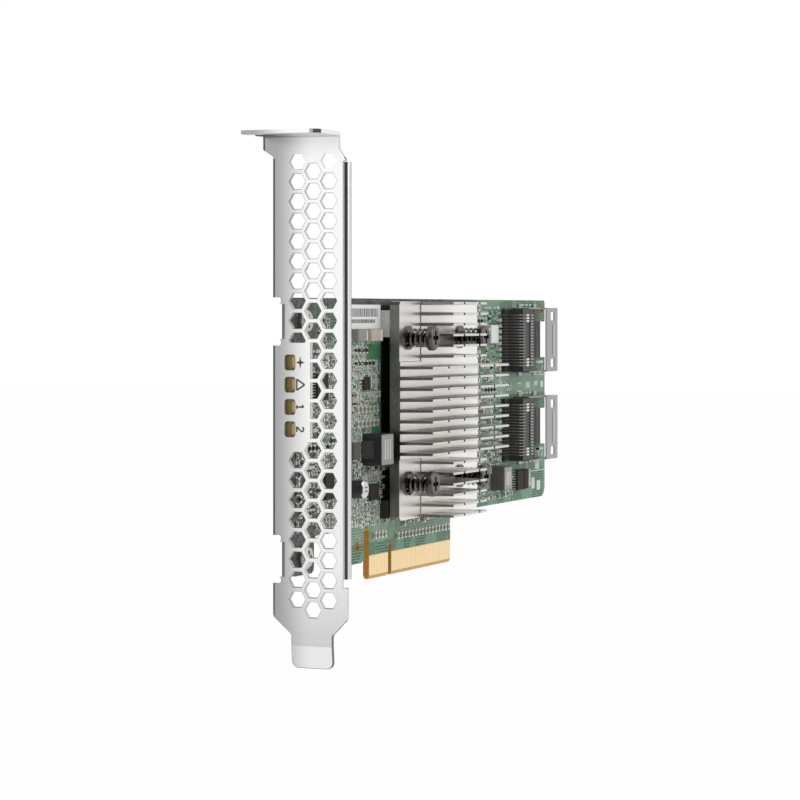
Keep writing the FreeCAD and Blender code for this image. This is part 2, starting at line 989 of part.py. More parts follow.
def make_sas_shell(level):
    """The folded metal guide: two side walls with solder feet and a broad bar across the mouth."""
    mouth = shell_mouth()
    rear = mouth - shell_length
    half = port_width / 2
    outer = box(rear, mouth, component_face, above_board(shell_height), level - half, level + half)
    inner = box(
        rear - 1,
        mouth + 1,
        component_face + 1,
        above_board(shell_height - shell_sheet),
        level - half + shell_sheet,
        level + half - shell_sheet,
    )
    window = box(
        rear - 1,
        mouth - shell_bar,
        above_board(shell_height - 2 * shell_sheet),
        above_board(shell_height + 1),
        level - half - 1,
        level + half + 1,
    )
    cuts = [inner, window]
    for side in (-1, 1):
        hole_x = mouth - latch_hole_from_mouth
        hole_z = level + side * latch_hole_offset
        cuts.append(
            centred_block(
                hole_x,
                hole_z,
                latch_hole_length,
                latch_hole_width,
                shell_height - 2 * shell_sheet,
                shell_height + 1,
            )
        )
    shell = outer.cut(cuts)
    feet = []
    for position in foot_positions:
        for side in (-1, 1):
            edge = level + side * half
            feet.append(
                box(
                    rear + position,
                    rear + position + foot_length,
                    component_face,
                    above_board(shell_sheet),
                    edge,
                    edge + side * foot_width,
                )
            )
    return join([shell] + feet)


def make_power_inductor():
    body = centred_block(
        from_bracket(inductor_x) + inductor_length / 2,
        board_height - inductor_from_top,
        inductor_length - 2 * terminal_thickness,
        inductor_width,
        0,
        inductor_height,
    )
    corners = [edge for edge in body.Edges if abs(edge.BoundBox.YLength - inductor_height) < 1e-4]
    return body.makeChamfer(inductor_chamfer, corners)


def make_power_inductor_terminals():
    plates = []
    level = board_height - inductor_from_top
    middle = from_bracket(inductor_x) + inductor_length / 2
    for side in (-1, 1):
        outer = middle + side * inductor_length / 2
        plates.append(
            box(
                outer,
                outer - side * terminal_thickness,
                component_face,
                above_board(terminal_height),
                level - terminal_width / 2,
                level + terminal_width / 2,
            )
        )
    return group(plates)


upper_port, lower_port = port_levels()

# Small inductors: X from the bracket, Z, length, width and height
small_inductors = (
    (30.8, 31.5, 4.0, 4.1, 3.0),
    (board_length - 39.05, lower_port - 12.65, 5.9, 6.4, 3.9),
)
small_inductor_edge = 0.30

# Flat chips: X from the bracket, Z, length, width and height
flat_chips = (
    (41.6, board_height - 20.4, 4.0, 3.2, 0.9),
    (45.6, board_height - 46.6, 5.2, 3.8, 1.1),
    (15.5, 47.0, 6.0, 6.0, 1.2),
    (19.0, 24.0, 5.0, 6.2, 1.4),
    (108.6, upper_port - 4.3, 6.4, 5.0, 1.0),
    (108.9, 27.6, 7.0, 7.0, 1.0),
    (board_length - 22.45, lower_port - 14.05, 4.8, 5.4, 1.3),
    (board_length - 17.15, lower_port - 14.05, 3.2, 5.4, 1.0),
)
flat_chip_edge = 0.15

# Moulded tantalum capacitors: X from the bracket, Z, length, width and height
tantalum_blocks = (
    (45.2, board_height - 8.85, 7.2, 2.9, 1.9),
    (37.2, board_height - 8.85, 6.0, 2.9, 1.9),
    (heatsink_start + 3.1, heatsink_bottom + 2.65, 6.0, 4.4, 2.1),
)
moulded_edge = 0.20

crystal_block = (board_length - 41.45, upper_port + 1.7, 5.2, 4.9, 1.1)
support_pad_block = (heatsink_start + 1.9, heatsink_bottom + heatsink_height() - 5.4, 3.2, 6.5)
label_block = (38.3, board_height - 4.4, 26.0, 5.8, 0.12)


def blocks(rows, edge_break):
    """Moulded bodies on the component face, each with its top edges broken."""
    bodies = []
    for distance, z, length, width, height in rows:
        body = centred_block(from_bracket(distance), z, length, width, 0, height)
        if edge_break:
            top = above_board(height)
            rim = [edge for edge in body.Edges if abs(edge.CenterOfMass.y - top) < 1e-6]
            body = body.makeChamfer(edge_break, rim)
        bodies.append(body)
    return group(bodies)


def make_support_pad():
    distance, z, length, width = support_pad_block
    return centred_block(from_bracket(distance), z, length, width, 0, heatsink_gap)


def make_capacitor_can():
    x = from_bracket(can_x)
    neck = can_radius - can_groove_depth
    return turned(
        [
            (0, can_base_height),
            (can_radius, can_base_height),
            (can_radius, can_groove_level - can_groove_depth),
            (neck, can_groove_level),
            (can_radius, can_groove_level + can_groove_depth),
            (can_radius, can_height - can_edge),
            (can_radius - can_edge, can_height),
            (0, can_height),
        ],
        x,
        can_z,
    )


def make_capacitor_base():
    half = can_base_side / 2
    x = from_bracket(can_x)
    corner = can_base_side / 4
    outline = [
        (x - half, can_z - half, 0),
        (x + half - corner, can_z - half, 0),
        (x + half, can_z - half + corner, 0),
        (x + half, can_z + half - corner, 0),
        (x + half - corner, can_z + half, 0),
        (x - half, can_z + half, 0),
    ]
    return plate_xz(outline, above_board(0), above_board(can_base_height))


def make_status_leds():
    near = from_bracket(board_start)
    bodies = []
    for index in range(indicator_count):
        z = indicator_top - index * indicator_pitch
        body = box(
            near,
            near + led_length,
            component_face,
            above_board(led_height),
            z - led_width / 2,
            z + led_width / 2,
        )
        front = [edge for edge in body.Edges if abs(edge.CenterOfMass.x - near) < 1e-6]
        rim = [edge for edge in front if edge.CenterOfMass.y < component_face - 1e-6]
        bodies.append(body.makeFillet(led_lens, rim))
    return group(bodies)


# Ceramic capacitors in rows: first X from the bracket, first Z, step in X, step in Z, count and whether
# each one stands along Z
capacitor_length = 1.60
capacitor_width = 0.82
capacitor_height = 0.85
capacitor_rows = (
    (61.0, 9.3, 2.20, 0.0, 16, True),
    (47.0, 10.4, 2.00, 0.0, 4, True),
    (board_length - 36.75, upper_port - 5.5, 0.0, 1.57, 8, False),
    (board_length - 36.75, lower_port - 5.55, 0.0, 1.57, 8, False),
    (36.6, board_height - 26.6, 2.30, 0.0, 6, True),
    (36.6, board_height - 30.0, 2.30, 0.0, 6, True),
    (105.6, lower_port + 5.95, 0.0, 2.10, 5, False),
)

# Chip resistors, in the same form
resistor_length = 1.60
resistor_width = 0.82
resistor_height = 0.45
resistor_rows = (
    (36.4, board_height - 15.6, 2.10, 0.0, 6, True),
    (36.4, board_height - 12.4, 2.10, 0.0, 4, True),
    (10.6, 33.0, 2.00, 0.0, 6, True),
    (board_length - 59.25, upper_port + 5.3, 2.10, 0.0, 6, True),
    (board_length - 47.65, lower_port + 11.15, 2.10, 0.0, 5, True),
)


def chip_rows(rows, length, width, height):
    bodies = []
    for first_x, first_z, step_x, step_z, count, along_z in rows:
        size_x, size_z = (width, length) if along_z else (length, width)
        for index in range(round(count)):
            x = from_bracket(first_x + index * step_x)
            bodies.append(centred_block(x, first_z + index * step_z, size_x, size_z, 0, height))
    return group(bodies)


def make_label():
    distance, z, length, width, thickness = label_block
    return centred_block(from_bracket(distance), z, length, width, 0, thickness)


parts = {
    "bracket": make_bracket(),
    "bracket_screws": make_bracket_screws(),
    "circuit_board": make_circuit_board(),
    "edge_contacts_front": make_edge_contacts(component_face, -1),
    "edge_contacts_rear": make_edge_contacts(solder_face, 1),
    "controller_chip": make_controller_chip(),
    "thermal_pad": make_thermal_pad(),
    "support_pad": make_support_pad(),
    "heatsink": make_heatsink(),
    "heatsink_screws": make_heatsink_screws(),
    "heatsink_springs": make_heatsink_springs(),
    "heatsink_washers": make_heatsink_washers(),
    "heatsink_nuts": make_heatsink_nuts(),
    "power_inductor": make_power_inductor(),
    "power_inductor_terminals": make_power_inductor_terminals(),
    "small_inductors": blocks(small_inductors, small_inductor_edge),
    "flat_chips": blocks(flat_chips, flat_chip_edge),
    "tantalum_capacitors": blocks(tantalum_blocks, moulded_edge),
    "crystal_can": blocks([crystal_block], moulded_edge),
    "capacitor_can": make_capacitor_can(),
    "capacitor_base": make_capacitor_base(),
    "status_leds": make_status_leds(),
    "ceramic_capacitors": chip_rows(capacitor_rows, capacitor_length, capacitor_width, capacitor_height),
    "chip_resistors": chip_rows(resistor_rows, resistor_length, resistor_width, resistor_height),
    "board_label": make_label(),
}
for name, level in zip(("upper", "lower"), port_levels()):
    parts["sas_housing_" + name] = make_sas_housing(level)
    parts["sas_contacts_" + name] = make_sas_contacts(level)
    parts["sas_shell_" + name] = make_sas_shell(level)

os.makedirs("parts", exist_ok=True)
for name, shape in parts.items():
    shape.exportStep("parts/" + name + ".step")
    print(name, len(shape.Solids), shape.isValid(), round(shape.Volume, 2))
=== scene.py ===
import bmesh
import bpy
import json
import math
import random
from mathutils import Matrix, Vector


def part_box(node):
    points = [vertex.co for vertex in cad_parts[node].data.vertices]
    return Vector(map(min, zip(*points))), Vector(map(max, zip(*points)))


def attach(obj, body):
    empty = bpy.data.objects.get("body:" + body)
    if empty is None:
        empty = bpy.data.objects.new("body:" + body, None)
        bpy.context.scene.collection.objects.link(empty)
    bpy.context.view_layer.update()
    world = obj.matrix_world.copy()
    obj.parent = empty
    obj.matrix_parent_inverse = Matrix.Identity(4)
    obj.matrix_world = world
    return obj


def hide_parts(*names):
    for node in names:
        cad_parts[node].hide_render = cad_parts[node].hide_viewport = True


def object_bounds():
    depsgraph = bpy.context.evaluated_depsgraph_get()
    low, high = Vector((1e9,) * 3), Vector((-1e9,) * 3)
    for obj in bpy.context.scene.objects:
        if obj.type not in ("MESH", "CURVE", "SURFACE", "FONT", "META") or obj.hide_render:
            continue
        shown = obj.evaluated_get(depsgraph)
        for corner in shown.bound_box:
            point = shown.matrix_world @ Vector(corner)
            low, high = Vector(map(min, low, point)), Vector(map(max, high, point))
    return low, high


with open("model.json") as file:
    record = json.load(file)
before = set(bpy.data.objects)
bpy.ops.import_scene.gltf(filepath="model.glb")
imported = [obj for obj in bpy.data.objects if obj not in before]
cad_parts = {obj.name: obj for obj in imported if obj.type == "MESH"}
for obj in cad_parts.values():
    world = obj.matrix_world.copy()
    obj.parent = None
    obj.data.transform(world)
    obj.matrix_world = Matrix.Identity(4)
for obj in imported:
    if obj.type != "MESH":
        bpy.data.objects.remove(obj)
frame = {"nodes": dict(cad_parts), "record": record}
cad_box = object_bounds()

# Circuit board: glass-fibre laminate with copper runs under a green lacquer, routed to its outline. The
# lacquer shows the copper as lighter lines, and the routed edge shows the amber laminate.
mm = 0.001
component_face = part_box("circuit_board")[0].y
board_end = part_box("circuit_board")[1].x
key_to_bracket = next(
    -mount["pos_m"][0] / mm for mount in frame["record"]["mounts"] if mount["name"] == "bracket_face"
)

lacquer_dark = (0.030, 0.110, 0.058, 1)
lacquer_copper = (0.150, 0.300, 0.190, 1)
lacquer_via = (0.50, 0.55, 0.46, 1)
lacquer_clear = (0.015, 0.15, 0.045, 1)
lacquer_pale = (0.42, 0.58, 0.44, 1)
tinned_pad = (0.62, 0.64, 0.60, 1)
# Dark greys for the painted shade by the bracket and for the darker strip along the top edge.
shade_and_strip_dark = (0.016, 0.017, 0.014, 1)
shade_and_strip_light = (0.12, 0.125, 0.11, 1)
gold_glow_between_pads = (1.0, 0.80, 0.48, 1)
heatsink_shade = (0.006, 0.008, 0.006, 1)
laminate_light = (0.62, 0.36, 0.080, 1)
laminate_dark = (0.30, 0.120, 0.014, 1)
laminate_bevel = (0.70, 0.42, 0.09, 1)
laminate_bracket_shade = (0.07, 0.065, 0.045, 1)
laminate_window_shade = (0.34, 0.25, 0.09, 1)

# Rectangles of the board, from x0 to x1 and from z0 to z1, in mm from the bracket and the bottom edge.
crowded_field = (13.0, 50.0, 12.9, 58.0)
clear_patches = ((43.0, 51.4, 52.8, 56.4), (44.0, 49.0, 40.2, 42.2), (46.0, 51.4, 33.8, 37.2))
above_contacts = (34.0, 100.0, 8.8, 14.0)
between_ports = (130.0, 168.0, 42.0, 47.4)
top_strip = (0.0, 125.0, 65.6, 68.0)
contact_lobes = (43.9, 97.0, 0.0, 5.7)
under_heatsink = (51.6, 102.6, 14.2, 66.0)


def shader_node(tree, kind, inputs=None, **settings):
    """A shader node with its settings and inputs; an input that is a socket becomes a link."""
    node = tree.nodes.new("ShaderNode" + kind)
    for name, value in settings.items():
        setattr(node, name, value)
    for name, value in (inputs or {}).items():
        if isinstance(value, bpy.types.NodeSocket):
            tree.links.new(value, node.inputs[name])
        else:
            node.inputs[name].default_value = value
    return node


def math_node(tree, operation, *values):
    """The result of one sum on sockets or numbers."""
    return shader_node(tree, "Math", dict(enumerate(values)), operation=operation).outputs[0]


def product(tree, result, *factors):
    """Sockets or numbers multiplied."""
    for factor in factors:
        result = math_node(tree, "MULTIPLY", result, factor)
    return result


def ramp(tree, value, start, end, first=0.0, last=1.0, **settings):
    """Goes from the first number to the last as a value goes from start to end."""
    inputs = {0: value, 1: start, 2: end, 3: first, 4: last}
    return shader_node(tree, "MapRange", inputs, **settings).outputs[0]


def above(tree, value, limit):
    """One where the value is more than the limit."""
    return math_node(tree, "GREATER_THAN", value, limit)


def below(tree, value, limit):
    """One where the value is less than the limit."""
    return math_node(tree, "LESS_THAN", value, limit)


def noise(tree, place, scale, detail):
    """Soft noise from zero to one."""
    return shader_node(tree, "TexNoise", {"Vector": place, "Scale": scale, "Detail": detail}).outputs["Fac"]


def blend(tree, amount, first, second):
    """Goes from the first colour to the second as the amount rises."""
    inputs = {0: amount, 6: first, 7: second}
    return shader_node(tree, "Mix", inputs, data_type="RGBA").outputs[2]


def new_material(name, inputs):
    """A material with its own Principled shader, whose sockets hold the plain values."""
    material = bpy.data.materials.new(name)
    material.use_nodes = True
    shader = material.node_tree.nodes["Principled BSDF"]
    for socket, value in inputs.items():
        shader.inputs[socket].default_value = value
    return material, material.node_tree, shader


def paint(tree, shader, color):
    """Lets a colour reach a shader."""
    tree.links.new(color, shader.inputs["Base Color"])


def bump(tree, shader, height, strength, distance):
    """Roughens a shader's surface with a height in the pattern's own units."""
    inputs = {"Height": height, "Strength": strength, "Distance": distance}
    node = shader_node(tree, "Bump", inputs)
    tree.links.new(node.outputs["Normal"], shader.inputs["Normal"])


def object_coordinates(tree):
    """The point on the card, in metres from the key notch."""
    return shader_node(tree, "TexCoord").outputs["Object"]


def object_axes(tree):
    """X, Y and Z of the point on the card."""
    return shader_node(tree, "SeparateXYZ", {0: object_coordinates(tree)}).outputs


def normal_axes(tree):
    """X, Y and Z of the way that a surface faces."""
    return shader_node(tree, "SeparateXYZ", {0: shader_node(tree, "TexCoord").outputs["Normal"]}).outputs


def finish_node(name, material):
    """Gives a node of the frame its material."""
    for slot in frame["nodes"][name].material_slots:
        slot.material = material


board_material, tree, shader = new_material("lacquered_board", {"Roughness": 0.36, "Specular IOR Level": 0.2})
place = object_axes(tree)
along = product(tree, place["X"], 1 / mm)
across = product(tree, place["Y"], 1 / mm)
up = product(tree, place["Z"], 1 / mm)
plane = shader_node(tree, "CombineXYZ", {"X": along, "Y": up, "Z": across}).outputs[0]


def board_cells(scale, randomness=1.0, distance="CHEBYCHEV"):
    """Cells over the board's plane, as the distance from their middles and the chances of each."""
    inputs = {"Vector": plane, "Scale": scale, "Randomness": randomness}
    cells = shader_node(tree, "TexVoronoi", inputs, voronoi_dimensions="2D", distance=distance)
    return cells.outputs["Distance"], shader_node(tree, "SeparateColor", {0: cells.outputs["Color"]}).outputs


def zone(x0, x1, z0, z1):
    """One inside a rectangle of the board."""
    right, left = above(tree, along, x0 - key_to_bracket), below(tree, along, x1 - key_to_bracket)
    return product(tree, right, left, above(tree, up, z0), below(tree, up, z1))


# Both faces have fields of straight, upright or slanted runs, poured copper and small plated holes.
field_chances = board_cells(0.14)[1]
turned_runs = above(tree, field_chances[0], 0.4)
slanted_runs = above(tree, field_chances[0], 0.72)
run_share = math_node(tree, "ADD", math_node(tree, "SUBTRACT", 1.0, turned_runs), slanted_runs)
run_place = math_node(tree, "ADD", product(tree, along, run_share), product(tree, up, turned_runs))
runs = above(tree, math_node(tree, "PINGPONG", run_place, 0.34), 0.19)
pours = above(tree, field_chances[1], 0.62)
copper = math_node(tree, "MAXIMUM", runs, pours)
via_distance, via_chances = board_cells(0.42, 0.75, "EUCLIDEAN")
via_there = above(tree, via_chances[0], 0.45)
via_ring = product(tree, below(tree, via_distance, 0.11), via_there)
via_hole = product(tree, below(tree, via_distance, 0.05), via_there)
face_color = blend(tree, copper, lacquer_dark, lacquer_copper)
face_color = blend(tree, via_ring, face_color, lacquer_via)
face_color = blend(tree, via_hole, face_color, lacquer_dark)
solder_color = blend(tree, product(tree, pours, 0.38), face_color, lacquer_dark)

# The crowded field near the bracket is mostly bare tinned pads. No copper is seen by the bracket, along the
# top edge
# and under the heatsink: by the bracket the board is painted dark grey as shade, along the top edge it is
# dark grey, and under the heatsink it is painted near black as shadow.
pad_distance, pad_chances = board_cells(1.15, 0.7)
pad_there = below(tree, pad_distance, product(tree, pad_chances[1], 0.5))
clear = 0.0
for patch in clear_patches:
    clear = math_node(tree, "MAXIMUM", clear, zone(*patch))
pad_there = product(tree, pad_there, zone(*crowded_field), math_node(tree, "SUBTRACT", 1.0, clear))
face_color = blend(tree, pad_there, face_color, tinned_pad)
face_color = blend(tree, product(tree, clear, 0.6), face_color, lacquer_clear)
haze = noise(tree, plane, 0.9, 5.0)
pale = math_node(tree, "MAXIMUM", zone(*above_contacts), zone(*between_ports))
face_color = blend(tree, product(tree, pale, haze, 0.6), face_color, lacquer_pale)
shade_and_strip_color = blend(tree, ramp(tree, haze, 0.35, 0.65), shade_and_strip_dark, shade_and_strip_light)
# Painted shade by the bracket, fading out from 12 to 30 mm.
bracket_shade = ramp(tree, along, 12.0 - key_to_bracket, 30.0 - key_to_bracket, 0.96, 0.0)
top_strip_fade = ramp(tree, along, 90.0 - key_to_bracket, 125.0 - key_to_bracket, 0.9, 0.0)
bare = math_node(tree, "MAXIMUM", bracket_shade, product(tree, zone(*top_strip), top_strip_fade))
face_color = blend(tree, bare, face_color, shade_and_strip_color)
# Painted glow: the board between the contact pads is painted the pads' gold.
face_color = blend(tree, zone(*contact_lobes), face_color, gold_glow_between_pads)
# Painted shadow: the board under the heatsink is painted near black.
face_color = blend(tree, product(tree, zone(*under_heatsink), 0.97), face_color, heatsink_shade)

# The edge shows the laminate's plies. At the end behind the bracket it is painted near black as shade, and a
# duller amber as shade behind the bracket's windows.
plies = math_node(tree, "PINGPONG", across, 0.13)
ply_mix = math_node(tree, "MULTIPLY_ADD", plies, 3.0, noise(tree, plane, 2.2, 3.0))
edge_color = blend(tree, product(tree, ply_mix, 0.6), laminate_dark, laminate_light)
normal = normal_axes(tree)
slanted = math_node(tree, "COMPARE", normal["Z"], -0.35, 0.25)
edge_color = blend(tree, product(tree, slanted, 0.8), edge_color, laminate_bevel)
behind_windows = math_node(tree, "COMPARE", up, 45.4, 9.4)
# Painted shade at the edge's end behind the bracket, less dark behind the windows.
near_end_shade = blend(tree, behind_windows, laminate_bracket_shade, laminate_window_shade)
near_end = below(tree, along, 3.1 - key_to_bracket)
edge_color = blend(tree, near_end, edge_color, near_end_shade)
is_face = above(tree, math_node(tree, "ABSOLUTE", normal["Y"]), 0.98)
is_component_side = below(tree, normal["Y"], -0.5)
face_color = blend(tree, is_component_side, solder_color, face_color)
paint(tree, shader, blend(tree, is_face, edge_color, face_color))
bump(tree, shader, product(tree, copper, is_face), 0.5, 0.03 * mm)
finish_node("circuit_board", board_material)

# Printed white marks: corner ticks, outlines and plain bars screened on the lacquer round the parts. They
# are thin ink, so each is a flat strip just proud of the board.
ink = 0.02 * mm


def from_bracket(distance):
    """X of a plane this many millimetres from the bracket's outer face."""
    return (distance - key_to_bracket) * mm


def add_block(mesh, low, high, finish=0, edge=0.0):
    """A block between two corners, with its edges broken where an edge width is given."""
    low, high = Vector(low), Vector(high)
    matrix = Matrix.LocRotScale((low + high) / 2, None, high - low)
    made = bmesh.ops.create_cube(mesh, size=1.0, matrix=matrix)["verts"]
    for face in {face for vert in made for face in vert.link_faces}:
        face.material_index = finish
    if edge:
        edges = list({line for vert in made for line in vert.link_edges})
        bmesh.ops.bevel(
            mesh, geom=edges, offset=edge, segments=2, profile=0.5, affect="EDGES", material=-1
        )


def add_print(mesh, x, z, size_x, size_z, base=0.0):
    """A strip of ink on the component side, by its centre, its size and its base over the board, in mm."""
    add_block(
        mesh,
        (from_bracket(x - size_x / 2), component_face - base * mm - ink, (z - size_z / 2) * mm),
        (from_bracket(x + size_x / 2), component_face - base * mm, (z + size_z / 2) * mm),
    )


def new_object(name, data):
    """An object of the scene that holds a mesh, a lamp or the camera."""
    made = bpy.data.objects.new(name, data)
    bpy.context.scene.collection.objects.link(made)
    return made


def new_mesh_object(name, mesh, materials):
    """An object of the scene made from a finished bmesh."""
    data = bpy.data.meshes.new(name)
    mesh.to_mesh(data)
    mesh.free()
    for material in materials:
        data.materials.append(material)
    return new_object(name, data)


def add_piece(name, mesh, materials):
    """Makes a piece of a mesh and lets it ride on the card."""
    piece = new_mesh_object(name, mesh, materials)
    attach(piece, "root")
    return piece


def new_group(name, sockets):
    """A node group with these inputs, which puts out a colour, a roughness and a height."""
    tree = bpy.data.node_groups.new(name, "ShaderNodeTree")
    for socket, value in sockets.items():
        kind = "Float" if isinstance(value, float) else "Vector" if len(value) == 3 else "Color"
        made = tree.interface.new_socket(socket, in_out="INPUT", socket_type="NodeSocket" + kind)
        made.default_value = value
    for socket, kind in (("Color", "Color"), ("Roughness", "Float"), ("Height", "Float")):
        tree.interface.new_socket(socket, in_out="OUTPUT", socket_type="NodeSocket" + kind)
    return tree, tree.nodes.new("NodeGroupInput").outputs, tree.nodes.new("NodeGroupOutput").inputs


def feed_shader(tree, shader, group, settings, relief):
    """Puts a group in a material, and its colour, roughness and height reach the shader."""
    node = tree.nodes.new("ShaderNodeGroup")
    node.node_tree = group
    for name, value in settings.items():
        node.inputs[name].default_value = value
    paint(tree, shader, node.outputs["Color"])
    tree.links.new(node.outputs["Roughness"], shader.inputs["Roughness"])
    bump(tree, shader, node.outputs["Height"], relief, 0.02 * mm)


def fine_grain_group():
    """Fine grain and faint blotches for moulded, printed and fired surfaces."""
    sockets = {
        "Color": (0.5, 0.5, 0.5, 1),
        "Blotch Color": (0.4, 0.4, 0.4, 1),
        "Grain Scale": 9000.0,
        "Blotch Scale": 600.0,
        "Roughness": 0.5,
        "Roughness Spread": 0.1,
    }
    tree, given, result = new_group("fine_grain", sockets)
    place = object_coordinates(tree)
    grain = noise(tree, place, given["Grain Scale"], 2.0)
    share = math_node(tree, "ADD", grain, noise(tree, place, given["Blotch Scale"], 4.0))
    share = math_node(tree, "SUBTRACT", share, 0.55)
    tree.links.new(blend(tree, share, given["Color"], given["Blotch Color"]), result["Color"])
    spread = product(tree, math_node(tree, "SUBTRACT", share, 0.45), given["Roughness Spread"])
    tree.links.new(math_node(tree, "ADD", given["Roughness"], spread), result["Roughness"])
    tree.links.new(grain, result["Height"])
    return tree


fine_grain = fine_grain_group()


def grained_material(name, color, blotch, inputs=None, relief=0.2, **values):
    """A moulded, printed or fired finish made with the fine grain."""
    material, tree, shader = new_material(name, {"Specular IOR Level": 0.3} | (inputs or {}))
    settings = {"Color": (*color, 1), "Blotch Color": (*blotch, 1)}
    settings.update({key.replace("_", " ").title(): value for key, value in values.items()})
    feed_shader(tree, shader, fine_grain, settings, relief)
    return material


white_ink = grained_material("white_ink", (0.78, 0.80, 0.76), (0.60, 0.64, 0.58), roughness=0.55)


def add_outline(mesh, x, z, size_x, size_z, gap, line=0.16):
    """A printed rectangle, whose long sides may be broken by a gap."""
    for side in (-1, 1):
        add_print(mesh, x, z + side * size_z / 2, size_x + line, line)
        run = (size_z - gap) / 2 if gap else size_z
        for part in (-1, 1) if gap else (0,):
            add_print(mesh, x + side * size_x / 2, z + part * (size_z - run) / 2, line, run)


marks = bmesh.new()
for x, z, size_x, size_z, gap in (
    (41.6, 47.2, 6.4, 4.4, 0.0),
    (45.6, 21.0, 6.0, 4.6, 1.6),
    (15.5, 47.0, 7.0, 7.0, 3.0),
    (19.0, 24.0, 6.0, 7.2, 3.0),
    (108.6, 52.4, 7.4, 6.0, 2.0),
    (108.9, 27.6, 8.0, 8.0, 3.0),
    (128.6, 19.8, 7.0, 7.4, 2.0),
):
    add_outline(marks, x, z, size_x, size_z, gap)

# Beside each port there are ticks, and a bar and a triangle by its mouth. A pale line lies on the floor of
# the mouth.
port_shells = [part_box("sas_shell_" + port) for port in ("upper", "lower")]
port_levels = [(low.z + high.z) / 2 / mm for low, high in port_shells]
arrow_x = 163.4
mouth_line_x = 160.2
for level in port_levels:
    for side in (-1, 1):
        for step in range(5):
            add_print(marks, 147.0 + 3.0 * step, level + side * 9.6, 1.6, 0.5)
    add_print(marks, mouth_line_x, level, 0.3, 10.2, base=0.42)
    add_print(marks, arrow_x, level - 6.3, 5.6, 0.7)
    for tilt in (-1, 1):
        for step in range(8):
            x = arrow_x + tilt * (0.35 + 0.3 * step)
            add_print(marks, x, level - 9.4 + 0.3 * step, 0.5, 0.3)
for x, z, size_x, size_z in (
    (45.9, 47.2, 0.5, 3.6),
    (154.0, 44.2, 3.4, 1.6),
    (160.4, 44.6, 2.6, 1.2),
    (165.2, 44.2, 1.8, 1.8),
    (147.4, 44.8, 2.6, 0.5),
    (147.4, 42.6, 3.4, 0.4),
    (161.4, 25.2, 3.4, 2.8),
    (161.4, 21.8, 3.4, 2.4),
    (155.6, 18.6, 1.0, 4.6),
    (158.2, 16.8, 2.4, 3.0),
    (162.6, 16.0, 2.8, 2.6),
    (147.6, 20.6, 3.6, 0.4),
    (157.0, 20.2, 20.0, 0.25),
    (157.0, 46.9, 20.0, 0.2),
):
    add_print(marks, x, z, size_x, size_z)
add_piece("board_print", marks, [white_ink])

# Small chip parts: ceramic capacitors and thick-film resistors with tinned ends, each soldered to two pads
# by reflow. The named rows stand where the solids stand, and the rest fill the free board round them.
ceramic_body = grained_material("fired_ceramic", (0.50, 0.475, 0.41), (0.36, 0.33, 0.27), roughness=0.45)
resistor_body = grained_material("resistor_glaze", (0.025, 0.025, 0.028), (0.05, 0.05, 0.05), roughness=0.3)
tinned_end, tree, shader = new_material("tinned_end", {"Metallic": 0.55, "Roughness": 0.38})
wave = noise(tree, object_coordinates(tree), 2600.0, 2.0)
tin = blend(tree, wave, (0.66, 0.65, 0.63, 1), (0.94, 0.93, 0.90, 1))
paint(tree, shader, tin)
bump(tree, shader, wave, 0.3, 0.05 * mm)


def solids_of(node):
    """Lowest and highest corner of each separate solid in a node, in order."""
    mesh = bmesh.new()
    mesh.from_mesh(frame["nodes"][node].data)
    bmesh.ops.remove_doubles(mesh, verts=mesh.verts, dist=1e-6)
    waiting = set(mesh.verts)
    boxes = []
    while waiting:
        reached = [waiting.pop()]
        corners = []
        while reached:
            vert = reached.pop()
            corners.append(vert.co.copy())
            for line in vert.link_edges:
                other = line.other_vert(vert)
                if other in waiting:
                    waiting.discard(other)
                    reached.append(other)
        low = Vector(min(corner[axis] for corner in corners) for axis in range(3))
        high = Vector(max(corner[axis] for corner in corners) for axis in range(3))
        boxes.append((low, high))
    mesh.free()
    return sorted(boxes, key=lambda pair: (round(pair[0].x, 6), round(pair[0].z, 6)))


def add_chip_part(mesh, low, high, end_share=0.24):
    """A body between two slightly larger tinned ends, along its longer side, on two solder pads."""
    inset = 0.03 * mm
    pad_reach = 0.18 * mm
    pad_height = 0.08 * mm
    size = high - low
    axis = 0 if size.x > size.z else 2
    other = 2 - axis
    end = size[axis] * end_share
    body_low, body_high = low.copy(), high.copy()
    body_low[axis] += end * 0.9
    body_high[axis] -= end * 0.9
    body_low[other] += inset
    body_high[other] -= inset
    body_low.y += inset
    add_block(mesh, body_low, body_high, 0)
    for side in (0, 1):
        cap_low, cap_high = low.copy(), high.copy()
        if side:
            cap_low[axis] = high[axis] - end
        else:
            cap_high[axis] = low[axis] + end
        add_block(mesh, cap_low, cap_high, 1)
        pad_low, pad_high = cap_low.copy(), cap_high.copy()
        pad_low[axis] -= pad_reach
        pad_high[axis] += pad_reach
        pad_low.y = component_face - pad_height
        pad_high.y = component_face
        add_block(mesh, pad_low, pad_high, 1)


for node, body in (("ceramic_capacitors", ceramic_body), ("chip_resistors", resistor_body)):
    rows = bmesh.new()
    for low, high in solids_of(node):
        add_chip_part(rows, low, high)
    piece = add_piece(node + "_tinned", rows, [body, tinned_end])
    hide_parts(node)

footprints = []
for node in sorted(frame["nodes"]):
    if node not in ("circuit_board", "bracket", "heatsink", "heatsink_nuts", "edge_contacts_rear"):
        footprints += solids_of(node)


def keep_clear(x0, x1, z0, z1):
    """Keeps the small parts out of a rectangle of the board."""
    footprints.append((Vector((from_bracket(x0), 0, z0 * mm)), Vector((from_bracket(x1), 0, z1 * mm))))


keep_clear(1.0, 15.0, 56.0, 68.0)
keep_clear(1.0, 13.0, 3.0, 14.0)
for patch in clear_patches:
    keep_clear(*patch)
for level in port_levels:
    keep_clear(132.2, board_end / mm + key_to_bracket, level - 10.0, level + 10.0)


